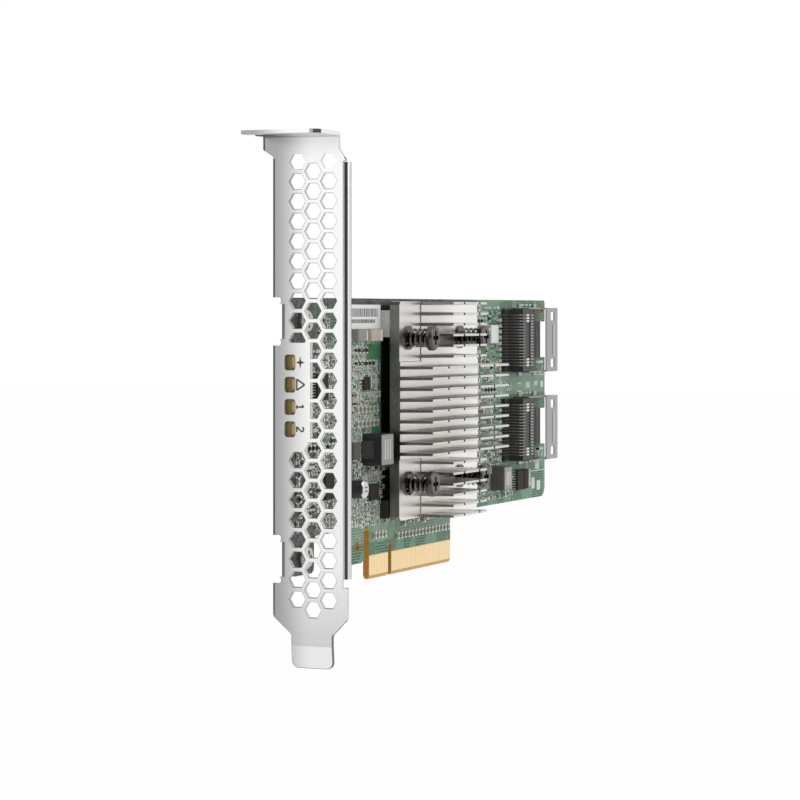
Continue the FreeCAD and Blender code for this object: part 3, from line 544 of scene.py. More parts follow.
def is_free(x, z, half_x, half_z, room=0.15 * mm):
    """Whether a part this size fits between what is on the board already."""
    for low, high in footprints:
        beside = x + half_x + room < low.x or x - half_x - room > high.x
        if not beside and not (z + half_z + room < low.z or z - half_z - room > high.z):
            return False
    return True


# A kind's length, width and height in mm, and its mesh: 0 for capacitors and 1 for resistors.
part_kinds = ((1.0, 0.52, 0.50, 0), (1.0, 0.52, 0.34, 1), (1.6, 0.82, 0.78, 0), (1.6, 0.82, 0.44, 1))
kind_draws = (0, 0, 0, 0, 1, 2, 2, 3)
lying_share = 0.45
printed_share = 0.3
stroke_gap = 0.22 * mm
stroke_half = 0.06 * mm

# An area's rectangle in mm, its steps along and up the board, and the share of its places that are filled.
part_areas = (
    (22.0, 51.0, 33.8, 57.2, 1.22, 1.02, 0.97),
    (2.6, 22.0, 14.0, 66.4, 1.70, 1.40, 0.80),
    (22.0, 34.5, 13.5, 33.8, 1.45, 1.20, 0.90),
    (22.0, 34.5, 57.2, 60.0, 1.45, 1.20, 0.90),
    (34.5, 60.0, 12.9, 33.8, 1.45, 1.20, 0.92),
    (60.0, 100.0, 11.6, 13.4, 2.10, 1.40, 0.60),
    (104.0, 132.0, 14.0, 66.4, 1.75, 1.45, 0.72),
    (133.0, 142.0, 42.6, 46.6, 1.9, 1.45, 0.60),
    (134.0, 142.0, 14.4, 21.6, 1.9, 1.45, 0.60),
)
random.seed(11)
field = {0: bmesh.new(), 1: bmesh.new()}
field_print = bmesh.new()
for x0, x1, z0, z1, step_x, step_z, filled_share in part_areas:
    for row in range(int((z1 - z0) / step_z)):
        for column in range(int((x1 - x0) / step_x)):
            draw = random.random()
            kind = random.choice(kind_draws)
            lying = random.random() < lying_share
            x = from_bracket(x0 + (column + 0.5) * step_x + random.uniform(-0.08, 0.08))
            z = (z0 + (row + 0.5) * step_z) * mm
            if draw > filled_share:
                continue
            length, width, height, body = part_kinds[kind]
            if not lying:
                length, width = width, length
            half_x, half_z = length * mm / 2, width * mm / 2
            if not is_free(x, z, half_x, half_z):
                continue
            low = Vector((x - half_x, component_face - height * mm, z - half_z))
            high = Vector((x + half_x, component_face, z + half_z))
            footprints.append((low, high))
            add_chip_part(field[body], low, high)
            stroke_x = x + half_x + stroke_gap
            if draw < filled_share * printed_share and is_free(stroke_x, z, stroke_half, half_z, 0.0):
                add_block(
                    field_print,
                    (stroke_x - stroke_half, component_face - ink, z - half_z),
                    (stroke_x + stroke_half, component_face, z + half_z),
                )
add_piece("small_capacitors", field[0], [ceramic_body, tinned_end])
add_piece("small_resistors", field[1], [resistor_body, tinned_end])
add_piece("field_print", field_print, [white_ink])

# Edge connector: 49 copper pads on each side of the board's lobes, plated with hard gold. Faint wiping
# marks run along the way that the card slides into its slot.
gold, tree, shader = new_material("contact_gold", {"Metallic": 1.0})


def stretched_place(tree, scale):
    """The point on the card, drawn out along the axes with a small scale."""
    return shader_node(tree, "Mapping", {"Vector": object_coordinates(tree), "Scale": scale}).outputs[0]


wipes = noise(tree, stretched_place(tree, (9000.0, 1000.0, 500.0)), 1.0, 3.0)
gold_color = blend(tree, wipes, (0.96, 0.70, 0.36, 1), (1.0, 0.84, 0.54, 1))
paint(tree, shader, gold_color)
tree.links.new(math_node(tree, "MULTIPLY_ADD", wipes, 0.22, 0.18), shader.inputs["Roughness"])
bump(tree, shader, wipes, 0.12, 0.02 * mm)
for node in ("edge_contacts_front", "edge_contacts_rear"):
    finish_node(node, gold)

# Plated rings round the two tooling holes: copper etched on the board's face and left free of lacquer, so
# that it has tarnished. Each is a flat ring.
tooling_holes = ((37.55, 8.26), (165.05, 65.0))
ring_inner, ring_outer, ring_height = 0.9 * mm, 1.42 * mm, 0.03 * mm
ring_steps = 32
rings = bmesh.new()
for x, z in tooling_holes:
    middle = Matrix.Translation((from_bracket(x), component_face, z * mm))
    matrix = middle @ Matrix.Rotation(math.pi / 2, 4, "X")
    circles = []
    for radius in (ring_outer, ring_inner):
        made = bmesh.ops.create_circle(rings, segments=ring_steps, radius=radius, matrix=matrix)["verts"]
        circles += list({line for vert in made for line in vert.link_edges})
    faces = bmesh.ops.bridge_loops(rings, edges=circles)["faces"]
    grown = bmesh.ops.extrude_face_region(rings, geom=faces)["geom"]
    moved = [item for item in grown if isinstance(item, bmesh.types.BMVert)]
    bmesh.ops.translate(rings, verts=moved, vec=(0, -ring_height, 0))
bmesh.ops.recalc_face_normals(rings, faces=rings.faces)
partly_metal = {"Metallic": 0.3}
ring_copper = grained_material(
    "ring_copper", (0.36, 0.20, 0.05), (0.20, 0.10, 0.02), partly_metal, roughness=0.4, blotch_scale=900.0
)
add_piece("plated_rings", rings, [ring_copper])

# Moulded chips: black epoxy bodies with a matt blasted top. Tinned leads are bent down along two sides, and
# their feet are soldered to the board.
epoxy_inputs = {"Specular IOR Level": 0.1}
epoxy = grained_material(
    "moulded_epoxy", (0.030, 0.025, 0.018), (0.055, 0.046, 0.034), epoxy_inputs, relief=0.35, roughness=0.6
)
for node in ("flat_chips", "controller_chip"):
    finish_node(node, epoxy)
lead_pitch = 0.65 * mm
lead_half = 0.14 * mm
foot_reach, foot_height = 0.55 * mm, 0.16 * mm
shoulder_reach, shoulder_share = 0.2 * mm, 0.55
chip_leads = bmesh.new()
for low, high in solids_of("flat_chips"):
    count = int((high.z - low.z) / lead_pitch)
    pitch = (high.z - low.z) / count
    shoulder_height = (component_face - low.y) * shoulder_share
    for index in range(count):
        z = low.z + (index + 0.5) * pitch
        for edge_x, side in ((low.x, -1), (high.x, 1)):
            for reach, height in ((foot_reach, foot_height), (shoulder_reach, shoulder_height)):
                tip = edge_x + side * reach
                add_block(
                    chip_leads,
                    (min(edge_x, tip), component_face - height, z - lead_half),
                    (max(edge_x, tip), component_face, z + lead_half),
                )
add_piece("chip_leads", chip_leads, [tinned_end])

# Tantalum capacitors and the crystal: moulded blocks with a printed polarity bar, beige above, black below
# and grey at the one nearest the bracket, and a drawn nickel can. All are soldered flat.
tantalum = grained_material(
    "moulded_beige", (0.60, 0.54, 0.43), (0.42, 0.37, 0.29), relief=0.3, roughness=0.5
)


def reopened(material):
    """A material's tree and shader, and the colour that reaches the shader so far."""
    tree = material.node_tree
    shader = tree.nodes["Principled BSDF"]
    return tree, shader, shader.inputs["Base Color"].links[0].from_socket


tantalum_boxes = solids_of("tantalum_capacitors")
tree, shader, case_color = reopened(tantalum)
place = object_axes(tree)
is_grey = below(tree, place["X"], tantalum_boxes[0][1].x)
is_black = below(tree, place["Z"], 40 * mm)
case_color = blend(tree, is_grey, case_color, (0.30, 0.30, 0.29, 1))
case_color = blend(tree, is_black, case_color, (0.035, 0.034, 0.033, 1))
paint(tree, shader, case_color)
finish_node("tantalum_capacitors", tantalum)
nickel_can = grained_material(
    "nickel_can", (0.92, 0.92, 0.91), (0.80, 0.80, 0.79), partly_metal, roughness=0.35, blotch_scale=900.0
)
finish_node("crystal_can", nickel_can)
bar_start, bar_end, bar_margin = 1.3 * mm, 0.7 * mm, 0.3 * mm
bars = bmesh.new()
for low, high in tantalum_boxes:
    add_block(
        bars,
        (high.x - bar_start, low.y - ink, low.z + bar_margin),
        (high.x - bar_end, low.y, high.z - bar_margin),
    )
add_piece("polarity_bars", bars, [white_ink])

# Inductors: wound coils pressed into a block of dark iron powder, with bent tin terminals painted near black.
# Their tops have a pale screened patch with plain bars; the small inductors near the bracket have the dark
# tin there instead, as painted shade.
pressed = {"relief": 0.6, "roughness": 0.6, "grain_scale": 5200.0}
ferrite = grained_material("pressed_iron_powder", (0.020, 0.020, 0.022), (0.045, 0.044, 0.043), **pressed)
brown_ferrite = grained_material("brown_ferrite", (0.13, 0.12, 0.10), (0.09, 0.08, 0.07), **pressed)
grey_print = grained_material(
    "grey_print", (0.42, 0.42, 0.41), (0.27, 0.27, 0.265), relief=0.6, roughness=0.55, blotch_scale=2600.0
)
darkened_tin = grained_material(
    "darkened_tin", (0.055, 0.053, 0.052), (0.12, 0.117, 0.115), {"Specular IOR Level": 0.2}, roughness=0.5
)
finish_node("power_inductor", ferrite)
finish_node("small_inductors", brown_ferrite)
finish_node("power_inductor_terminals", darkened_tin)
power_size = 6 * mm
top_edge = 0.2 * mm
top_bar_half, top_bar_margin = 0.25 * mm, 1.4 * mm
tops = bmesh.new()
for low, high in solids_of("power_inductor") + solids_of("small_inductors"):
    is_power = high.z - low.z > power_size
    # The small inductors near the bracket get dark tin tops, a painted shade.
    finish = 2 if high.x < from_bracket(60.0) and not is_power else 0
    add_block(
        tops,
        (low.x + top_edge, low.y - ink, low.z + top_edge),
        (high.x - top_edge, low.y, high.z - top_edge),
        finish,
    )
    for index in range(3 if is_power else 0):
        middle = low.x + (high.x - low.x) * (0.32 + 0.2 * index)
        add_block(
            tops,
            (middle - top_bar_half, low.y - 2 * ink, low.z + top_bar_margin),
            (middle + top_bar_half, low.y - ink, high.z - top_bar_margin),
            1,
        )
add_piece("inductor_tops", tops, [grey_print, white_ink, darkened_tin])

# Aluminium can capacitor: a drawn can crimped over a moulded black base and soldered to the board. It has a
# dark sleeve, and its bare top has a printed half and bars.
print_edge = -1.7 * mm
bars_middle, bars_reach, bars_height = 0.35 * mm, 0.6 * mm, 1.1 * mm
bare_can, tree, shader = new_material("drawn_can", {"Metallic": 1.0, "Roughness": 0.3})
turned = noise(tree, object_coordinates(tree), 3000.0, 2.0)
can_color = blend(tree, turned, (0.60, 0.60, 0.61, 1), (0.80, 0.80, 0.81, 1))
can_low, can_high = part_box("capacitor_can")
place = object_axes(tree)
can_side = math_node(tree, "SUBTRACT", place["X"], (can_low.x + can_high.x) / 2)
can_up = math_node(tree, "SUBTRACT", place["Z"], (can_low.z + can_high.z) / 2)
can_bars = above(tree, math_node(tree, "PINGPONG", can_up, 0.45 * mm), 0.26 * mm)
beside = math_node(tree, "COMPARE", can_side, bars_middle, bars_reach)
level_with = math_node(tree, "COMPARE", can_up, 0.0, bars_height)
can_bars = product(tree, can_bars, beside, level_with)
can_print = math_node(tree, "MAXIMUM", below(tree, can_side, print_edge), can_bars)
can_color = blend(tree, can_print, can_color, (0.06, 0.06, 0.065, 1))
is_top = below(tree, normal_axes(tree)["Y"], -0.6)
can_color = blend(tree, is_top, (0.035, 0.035, 0.038, 1), can_color)
paint(tree, shader, can_color)
tree.links.new(is_top, shader.inputs["Metallic"])
finish_node("capacitor_can", bare_can)
black_plastic = grained_material(
    "black_plastic", (0.018, 0.018, 0.019), (0.034, 0.034, 0.035), relief=0.25, roughness=0.42
)
finish_node("capacitor_base", black_plastic)

# Pads under the heatsink: soft grey silicone with a fine filler grain, cut from sheet. One fills the gap to
# the chip's lid, and the other props the heatsink's corner.
silicone = grained_material(
    "silicone_pad", (0.70, 0.70, 0.70), (0.42, 0.42, 0.42), relief=0.5, roughness=0.7, blotch_scale=900.0
)
finish_node("thermal_pad", silicone)
finish_node("support_pad", silicone)

# Heatsink: an extruded comb of plain aluminium, pressed on the chip by four sprung screws. Drawing lines run
# along the fins, and the cross-cuts and sawn ends show fine tool marks. The sawn ends and a chamfered corner
# are painted dark, and the fin tips a little darker, as painted shade.


def drawn_metal_group():
    """Long drawing lines and soft clouds for extruded, rolled and turned metal."""
    sockets = {
        "Light Color": (0.8, 0.8, 0.8, 1),
        "Dark Color": (0.6, 0.6, 0.6, 1),
        "Line Scale": (400.0, 9000.0, 9000.0),
        "Cloud Scale": 120.0,
        "Roughness Low": 0.25,
        "Roughness High": 0.45,
    }
    tree, given, result = new_group("drawn_metal", sockets)
    place = object_coordinates(tree)
    lines = shader_node(tree, "VectorMath", {0: place, 1: given["Line Scale"]}, operation="MULTIPLY")
    streak = noise(tree, lines.outputs[0], 1.0, 4.0)
    clouds = product(tree, noise(tree, place, given["Cloud Scale"], 5.0), 0.6)
    share = math_node(tree, "MULTIPLY_ADD", streak, 0.6, clouds)
    tree.links.new(blend(tree, share, given["Dark Color"], given["Light Color"]), result["Color"])
    spread = math_node(tree, "SUBTRACT", given["Roughness High"], given["Roughness Low"])
    rough = math_node(tree, "MULTIPLY_ADD", share, spread, given["Roughness Low"])
    tree.links.new(rough, result["Roughness"])
    tree.links.new(streak, result["Height"])
    return tree


drawn_metal = drawn_metal_group()


def metal_material(name, light, dark, line_scale, cloud_scale, rough, relief=0.15, metallic=1.0):
    """A bare metal finish made with the drawing lines."""
    material, tree, shader = new_material(name, {"Metallic": metallic})
    settings = {
        "Light Color": (*light, 1),
        "Dark Color": (*dark, 1),
        "Line Scale": line_scale,
        "Cloud Scale": cloud_scale,
        "Roughness Low": rough[0],
        "Roughness High": rough[1],
    }
    feed_shader(tree, shader, drawn_metal, settings, relief)
    return material


def soften_node(name, width, materials, pick=None, segments=1, clamp=True):
    """Copies a node, rounds its sharp edges by a width in mm and stands in for it."""
    mesh = bmesh.new()
    mesh.from_mesh(frame["nodes"][name].data)
    bmesh.ops.remove_doubles(mesh, verts=mesh.verts, dist=1e-6)
    bmesh.ops.dissolve_limit(mesh, angle_limit=0.02, verts=mesh.verts, edges=mesh.edges)
    sharp = [line for line in mesh.edges if line.is_manifold and line.calc_face_angle() > math.radians(25)]
    if pick:
        sharp = [line for line in sharp if pick(line)]
    bmesh.ops.bevel(
        mesh,
        geom=sharp,
        offset=width * mm,
        segments=segments,
        profile=0.5,
        affect="EDGES",
        material=-1,
        clamp_overlap=clamp,
    )
    bmesh.ops.recalc_face_normals(mesh, faces=mesh.faces)
    piece = add_piece(name + "_finished", mesh, materials)
    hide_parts(name)


along_fins = (350.0, 6000.0, 6000.0)
extruded = metal_material(
    "extruded_aluminium", (0.96, 0.94, 0.90), (0.82, 0.80, 0.765), along_fins, 160.0, (0.22, 0.38), 0.3
)
tree, shader, drawn_color = reopened(extruded)
normal = normal_axes(tree)
# Painted shade: the fin tips are a little darker.
fin_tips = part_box("heatsink")[0].y + 0.15 * mm
at_tip = below(tree, object_axes(tree)["Y"], fin_tips)
tip_shade_color = blend(tree, at_tip, drawn_color, (0.70, 0.685, 0.66, 1))
kerf = noise(tree, stretched_place(tree, (900.0, 7000.0, 900.0)), 1.0, 3.0)
# Painted shade: the sawn ends are dark, darkest on the upper corner facing the bracket.
sawn_end_shade = blend(tree, kerf, (0.14, 0.135, 0.13, 1), (0.44, 0.43, 0.415, 1))
corner = below(tree, math_node(tree, "SUBTRACT", normal["X"], normal["Z"]), -1.2)
sawn_end_shade = blend(tree, corner, sawn_end_shade, (0.05, 0.049, 0.046, 1))
sawn = above(tree, math_node(tree, "ABSOLUTE", normal["X"]), 0.5)
paint(tree, shader, blend(tree, sawn, tip_shade_color, sawn_end_shade))
soften_node("heatsink", 0.06, [extruded])

# Screws: nickel-plated shoulder screws with cross recesses, each through a washer and a coiled spring of
# round wire, into a nut on the solder side. Two plain ones hold the bracket's ears.
all_ways = (3000.0, 3000.0, 3000.0)
black_nickel = metal_material(
    "black_nickel", (0.13, 0.12, 0.105), (0.055, 0.052, 0.045), all_ways, 500.0, (0.12, 0.26)
)
nickel = metal_material("nickel_plate", (0.62, 0.60, 0.56), (0.40, 0.39, 0.36), all_ways, 500.0, (0.18, 0.4))
soften_node("heatsink_screws", 0.12, [black_nickel], segments=2)
soften_node("bracket_screws", 0.10, [nickel], segments=2)
finish_node("heatsink_washers", black_nickel)
finish_node("heatsink_nuts", nickel)
wire_radius = 0.36 * mm
wire_sides = 8
turns = 3.5
turn_steps = 20
steps = int(turns * turn_steps)
springs = bmesh.new()
for low, high in solids_of("heatsink_springs"):
    middle = (low + high) / 2
    coil = (high.x - low.x) / 2 - wire_radius
    travel = high.y - low.y - 2 * wire_radius
    start = Matrix.Translation((middle.x + coil, high.y - wire_radius, middle.z))
    ring = bmesh.ops.create_circle(springs, segments=wire_sides, radius=wire_radius, matrix=start)["verts"]
    edges = list({line for vert in ring for line in vert.link_edges})
    bmesh.ops.spin(
        springs,
        geom=ring + edges,
        cent=middle,
        axis=(0, 1, 0),
        dvec=(0, -travel / steps, 0),
        angle=turns * 2 * math.pi,
        steps=steps,
        use_merge=False,
        use_duplicate=False,
    )
bmesh.ops.holes_fill(springs, edges=springs.edges, sides=wire_sides)
bmesh.ops.recalc_face_normals(springs, faces=springs.faces)
for face in springs.faces:
    face.smooth = True
spring_steel = metal_material(
    "spring_steel", (0.20, 0.19, 0.17), (0.07, 0.065, 0.058), (4000.0, 4000.0, 4000.0), 600.0, (0.15, 0.28)
)
coils = add_piece("coiled_springs", springs, [spring_steel])
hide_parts("heatsink_springs")

# Cable ports: glass-filled black housings with a row of tinned leads in moulded grooves, under a folded
# stainless guide with a bead pressed across it near the mouth.
upright = (5000.0, 5000.0, 350.0)
stainless = metal_material(
    "folded_stainless", (0.42, 0.42, 0.415), (0.30, 0.30, 0.298), upright, 200.0, (0.22, 0.4)
)
bead_steel = metal_material(
    "pressed_bead", (0.72, 0.72, 0.71), (0.60, 0.60, 0.59), upright, 200.0, (0.2, 0.3), metallic=0.4
)
lead_tin = metal_material(
    "lead_tin", (0.42, 0.415, 0.40), (0.26, 0.255, 0.25), (5000.0, 600.0, 5000.0), 900.0, (0.3, 0.45)
)
port_plastic = grained_material(
    "port_plastic", (0.030, 0.030, 0.028), (0.060, 0.059, 0.056), relief=0.3, roughness=0.48
)
for port in ("upper", "lower"):
    soften_node("sas_housing_" + port, 0.05, [port_plastic])
    finish_node("sas_contacts_" + port, lead_tin)
    soften_node("sas_shell_" + port, 0.05, [stainless])


def add_on_housing(mesh, start, end, z, half_height, proud, depth=0.05):
    """A strip on a housing's face, between two distances from its rear in mm, standing proud of it."""
    add_block(
        mesh,
        (house.x + start * mm, house.y - proud * mm, z - half_height * mm),
        (house.x + end * mm, house.y + depth * mm, z + half_height * mm),
    )


bead_start, bead_end, bead_half = 3.8 * mm, 3.1 * mm, 4.4 * mm
bead_proud, bead_depth, bead_edge = 0.18 * mm, 0.05 * mm, 0.08 * mm
lead_count = 18
port_pitch = 0.8 * mm
beads = bmesh.new()
tabs = bmesh.new()
ribs = bmesh.new()
for port, (low, high) in zip(("upper", "lower"), port_shells):
    level = (low.z + high.z) / 2
    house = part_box("sas_housing_" + port)[0]
    add_block(
        beads,
        (high.x - bead_start, low.y - bead_proud, level - bead_half),
        (high.x - bead_end, low.y + bead_depth, level + bead_half),
        0,
        bead_edge,
    )
    for side in (-1, 1):
        for index in range(3):
            z = level + side * (6.8 * mm - port_pitch * index)
            add_on_housing(tabs, 5.8, 7.9, z, 0.24, 0.03)
    for index in range(lead_count):
        z = level + (index - (lead_count - 1) / 2) * port_pitch
        add_on_housing(ribs, 0.3, 5.2, z, 0.07, 0.04)
        add_on_housing(ribs, 9.0, 11.2, z, 0.2, 0.03, 0.5)
add_piece("port_beads", beads, [bead_steel])
add_piece("port_tabs", tabs, [tinned_end])
add_piece("port_ribs", ribs, [lead_tin])

# Bracket: zinc-plated steel sheet, punched, folded and lightly tumbled, so its plating is satin with soft
# clouds and faint rolling lines along its height. Painted shade darkens it toward the solder side and toward
# the bottom of its face, along its rounded rims and side edges, over its bend and on the tab's slot walls.
# Two screws hold its ears to the board.
# Colours of the painted shade on the sheet.
rim_shade = (0.09, 0.09, 0.085, 1)
side_edge_shade = (0.035, 0.035, 0.03, 1)
bend_shade = (0.035, 0.032, 0.028, 1)
slot_shade = (0.04, 0.04, 0.035, 1)
lower_face_shade = (0.36, 0.36, 0.365, 1)
wing_foot = 99.0 * mm
body_edge, wing_edge = 2.95 * mm, 5.45 * mm
flange_start = -14.1 * mm
foot_level = -5.6 * mm
rolled = (2500.0, 2500.0, 300.0)
zinc = metal_material(
    "zinc_plated_sheet", (0.93, 0.93, 0.92), (0.80, 0.80, 0.80), rolled, 90.0, (0.30, 0.42), 0.2
)
tree, shader, sheet_color = reopened(zinc)
place = object_axes(tree)
normal = normal_axes(tree)
# Painted shade: the sheet darkens toward the solder side.
edge_shading = {0: 1.0, 6: sheet_color, 7: (0.42, 0.42, 0.425, 1)}
shaded_sheet = shader_node(tree, "Mix", edge_shading, data_type="RGBA", blend_type="MULTIPLY")
toward_flange = ramp(tree, place["Y"], 3.6 * mm, -6.5 * mm, interpolation_type="SMOOTHSTEP")
sheet_color = blend(tree, toward_flange, shaded_sheet.outputs[2], sheet_color)
facing = math_node(tree, "ABSOLUTE", normal["X"])
in_sheet = math_node(tree, "COMPARE", place["X"], from_bracket(0.75), 0.9 * mm)
# Painted shade on the rounded rims, strongest on rims facing up and toward the solder side, and at the foot.
rim = product(tree, below(tree, facing, 0.97), in_sheet)
leaning = math_node(tree, "MULTIPLY_ADD", normal["Z"], 0.6, normal["Y"])
at_foot = below(tree, place["Z"], foot_level)
rim_shade_share = math_node(tree, "MAXIMUM", ramp(tree, leaning, -0.5, 0.5, 0.25, 0.9), product(tree, at_foot, 0.9))
sheet_color = blend(tree, product(tree, rim, rim_shade_share), sheet_color, rim_shade)
# Painted shade along the sheet's side edges.
below_wing = below(tree, place["Z"], wing_foot)
body_side = product(tree, above(tree, place["Y"], body_edge), below_wing)
wing_side = above(tree, place["Y"], wing_edge)
side_line = product(tree, math_node(tree, "MAXIMUM", body_side, wing_side), in_sheet, 0.85)
sheet_color = blend(tree, side_line, sheet_color, side_edge_shade)
# Painted shade over the flange's bend and its back edge.
bend = math_node(tree, "COMPARE", math_node(tree, "ABSOLUTE", normal["Y"]), 0.66, 0.2)
bend_back = above(tree, place["X"], from_bracket(1.85))
bend = math_node(tree, "MAXIMUM", bend, product(tree, bend_back, 0.6))
bend = product(tree, bend, below(tree, place["Y"], flange_start), 0.92)
sheet_color = blend(tree, bend, sheet_color, bend_shade)
# Painted shade on the slot walls by the tab.
slot_wall = below(tree, normal["X"], -0.4)
by_slot = math_node(tree, "COMPARE", place["X"], from_bracket(-5.8), 5.0 * mm)
sheet_color = blend(tree, product(tree, slot_wall, by_slot, 0.85), sheet_color, slot_shade)
# Painted shade toward the bottom of the face, above the tongue.
lower_shade_share = ramp(tree, place["Z"], 8 * mm, -9 * mm, 0.0, 0.4)
above_tongue = above(tree, place["Z"], -11.0 * mm)
lower_shade_share = product(tree, lower_shade_share, above_tongue, above(tree, facing, 0.9))
sheet_color = blend(tree, lower_shade_share, sheet_color, lower_face_shade)
paint(tree, shader, sheet_color)


def is_front_rim(line):
    """Whether an edge lies round a vent or window, or round the foot, on the bracket's outer face."""
    if any(vert.co.z > 98 * mm for vert in line.verts):
        return False
    in_face = all(abs(vert.co.x - from_bracket(0)) < 0.02 * mm for vert in line.verts)
    if in_face and all(-12.8 * mm < vert.co.y < 1.6 * mm for vert in line.verts):
        return True
    foot = all(vert.co.z < foot_level for vert in line.verts)
    return foot and min(face.normal.x for face in line.link_faces) < -0.85


soften_node("bracket", 0.13, [zinc], pick=is_front_rim, segments=2, clamp=False)

# Marks beside the indicator windows: a star, a triangle and two plain numerals, pad-printed in grey and
# turned to read with the card lying down.
dark_ink = grained_material("dark_ink", (0.06, 0.06, 0.065), (0.09, 0.09, 0.09), roughness=0.6)
mark_y = -3.35 * mm
star_level, triangle_level, one_level, two_level = (
    (low.z + high.z) / 2 for low, high in reversed(solids_of("status_leds"))
)
symbols = bmesh.new()


def add_mark(level, points):
    """A printed shape on the bracket's face, from points in mm across and up from its centre."""
    verts = [symbols.verts.new((from_bracket(0) - ink, mark_y + y * mm, level + z * mm)) for y, z in points]
    face = symbols.faces.new(verts)
    grown = bmesh.ops.extrude_face_region(symbols, geom=[face])["geom"]
    moved = [item for item in grown if isinstance(item, bmesh.types.BMVert)]
    bmesh.ops.translate(symbols, verts=moved, vec=(ink, 0, 0))


def add_strokes(level, strokes, width=0.36):
    """Printed strokes, each from one point to another."""
    for start, end in strokes:
        start, end = Vector(start), Vector(end)
        side = (end - start).orthogonal().normalized() * width / 2
        add_mark(level, (start + side, start - side, end - side, end + side))


star = []
for index in range(8):
    reach = 1.45 if index % 2 == 0 else 0.45
    angle = index * math.pi / 4
    star.append((reach * math.cos(angle) * 0.75, reach * math.sin(angle)))
add_mark(star_level, star)
corners = [(0.85, 1.25), (0.85, -1.25), (-1.1, 0.0)]
add_strokes(triangle_level, zip(corners, corners[1:] + corners[:1]))
one = (((-0.85, 0.0), (0.85, 0.0)), ((-0.85, 0.0), (-0.45, 0.45)), ((0.85, 0.4), (0.85, -0.4)))
add_strokes(one_level, one)
two = ((-0.55, 0.55), (-0.85, 0.2), (-0.85, -0.25), (-0.5, -0.55), (-0.1, -0.35), (0.85, 0.6), (0.85, -0.6))
add_strokes(two_level, zip(two, two[1:]))
bmesh.ops.recalc_face_normals(symbols, faces=symbols.faces)
add_piece("bracket_marks", symbols, [dark_ink])

# Indicators: four moulded lamp bodies with a clear yellowish lens, soldered at the board's near edge, where
# they face the bracket's windows.
lamp = grained_material(
    "lamp_body", (0.80, 0.68, 0.38), (0.50, 0.38, 0.14), roughness=0.3, blotch_scale=1100.0
)
finish_node("status_leds", lamp)

# Label: white gloss paper stuck on the lacquer above the crowded field. It has two rows of plain black
# bars in place of writing.
paper = grained_material("label_paper", (0.93, 0.93, 0.92), (0.88, 0.88, 0.87), roughness=0.5)
finish_node("board_label", paper)
label_low, label_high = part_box("board_label")
stripes = bmesh.new()


def add_bar_row(right_margin, foot, head, widths, gaps):
    """A row of upright bars across the label, with widths and gaps in mm drawn at random."""
    x = label_low.x + 1.0 * mm
    while x < label_high.x - right_margin * mm:
        width = random.choice(widths) * mm
        add_block(stripes, (x, label_low.y - ink, foot), (x + width, label_low.y, head))
        x += width + random.choice(gaps) * mm


upper_foot, upper_head = label_low.z + 2.9 * mm, label_high.z - 0.9 * mm
lower_foot, lower_head = label_low.z + 1.4 * mm, label_low.z + 2.3 * mm
add_bar_row(1.8, upper_foot, upper_head, (0.12, 0.12, 0.24, 0.36), (0.14, 0.22, 0.34))
add_bar_row(4.0, lower_foot, lower_head, (0.3, 0.4, 0.5), (0.2, 0.3))
add_piece("label_bars", stripes, [dark_ink])

# Studio: a pale floor, a white surround and three soft lamps. The floor and the surround are white to the
# camera, and the floor keeps a little of its own shading for the card's shadow.
floor_drop = 0.06
floor_mesh = bmesh.new()
floor_place = Matrix.Translation((0, 0, cad_box[0][2] - floor_drop))
bmesh.ops.create_grid(floor_mesh, x_segments=1, y_segments=1, size=4.0, matrix=floor_place)
floor_inputs = {"Roughness": 1.0, "Base Color": (0.9, 0.9, 0.9, 1)}
floor_material, tree, shader = new_material("floor_paint", floor_inputs)
rays = shader_node(tree, "LightPath").outputs
seen = math_node(tree, "MAXIMUM", rays["Is Camera Ray"], rays["Is Glossy Ray"])
white = shader_node(tree, "Emission", {"Color": (1, 1, 1, 1), "Strength": 1.0})
white_share = product(tree, seen, 0.975)
mixed = shader_node(tree, "MixShader", {0: white_share, 1: shader.outputs[0], 2: white.outputs[0]})
tree.links.new(mixed.outputs[0], tree.nodes["Material Output"].inputs["Surface"])
new_mesh_object("floor", floor_mesh, [floor_material])

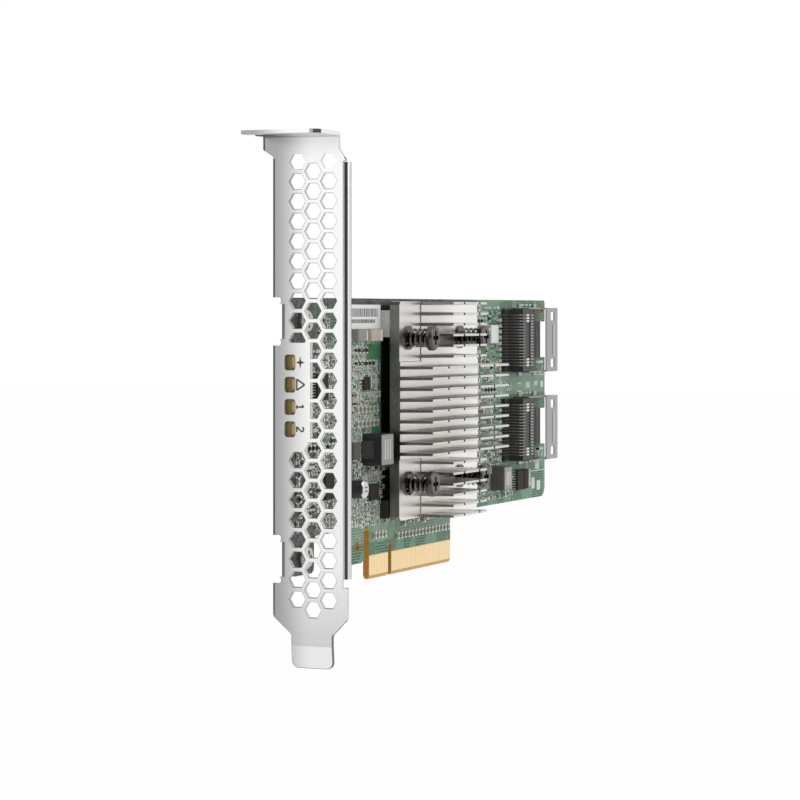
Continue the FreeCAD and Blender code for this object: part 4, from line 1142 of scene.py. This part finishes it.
# The surround is darker to mirrors on the photograph's side, as the room behind the camera is.
world = bpy.data.worlds.new("studio")
bpy.context.scene.world = world
world.use_nodes = True
tree = world.node_tree
backdrop = tree.nodes["Background"]
rays = shader_node(tree, "LightPath").outputs
direct = math_node(tree, "MAXIMUM", rays["Is Camera Ray"], rays["Is Transmission Ray"])
toward_room = {0: shader_node(tree, "TexCoord").outputs["Generated"], 1: (-0.84, -0.54, 0.0)}
room = shader_node(tree, "VectorMath", toward_room, operation="DOT_PRODUCT").outputs["Value"]
room_light = ramp(tree, room, 0.55, 0.86, 0.92, 0.10, interpolation_type="SMOOTHSTEP")
mirrored = product(tree, rays["Is Glossy Ray"], room_light)
spread = product(tree, rays["Is Diffuse Ray"], 0.60)
strength = math_node(tree, "ADD", math_node(tree, "ADD", direct, mirrored), spread)
backdrop.inputs["Color"].default_value = (1, 1, 1, 1)
tree.links.new(strength, backdrop.inputs["Strength"])

card_centre = Vector((0.0, -0.005, 0.045))
for name, place, size, power in (
    ("key_lamp", (0.30, -0.85, 0.45), 0.6, 2.3),
    ("bracket_lamp", (-0.85, 0.30, 0.30), 0.6, 0.6),
    ("top_lamp", (0.1, 0.0, 0.9), 1.6, 1.1),
):
    lamp_data = bpy.data.lights.new(name, "AREA")
    lamp_data.size = size
    lamp_data.energy = power
    lamp_object = new_object(name, lamp_data)
    lamp_object.location = place
    aim = card_centre - Vector(place)
    lamp_object.rotation_euler = aim.to_track_quat("-Z", "Y").to_euler()

# Camera: level, where the photograph was taken, with the frame shifted up to the photograph's horizon.
frame_pixels = 800
focal_pixels = 2786.84
horizon_pixels = 312.356
camera_place = (-0.626897, -0.269886, 0.064258)
camera_turn = math.radians(23.018)
camera_data = bpy.data.cameras.new("camera")
camera_data.sensor_width = 36.0
camera_data.lens = camera_data.sensor_width * focal_pixels / frame_pixels
camera_data.shift_y = (horizon_pixels - frame_pixels / 2) / frame_pixels
camera_data.clip_start = 0.01
camera = new_object("camera", camera_data)
camera.location = camera_place
camera.rotation_euler = (math.pi / 2, 0, camera_turn - math.pi / 2)
bpy.context.scene.camera = camera
bpy.context.scene.view_settings.view_transform = "Standard"
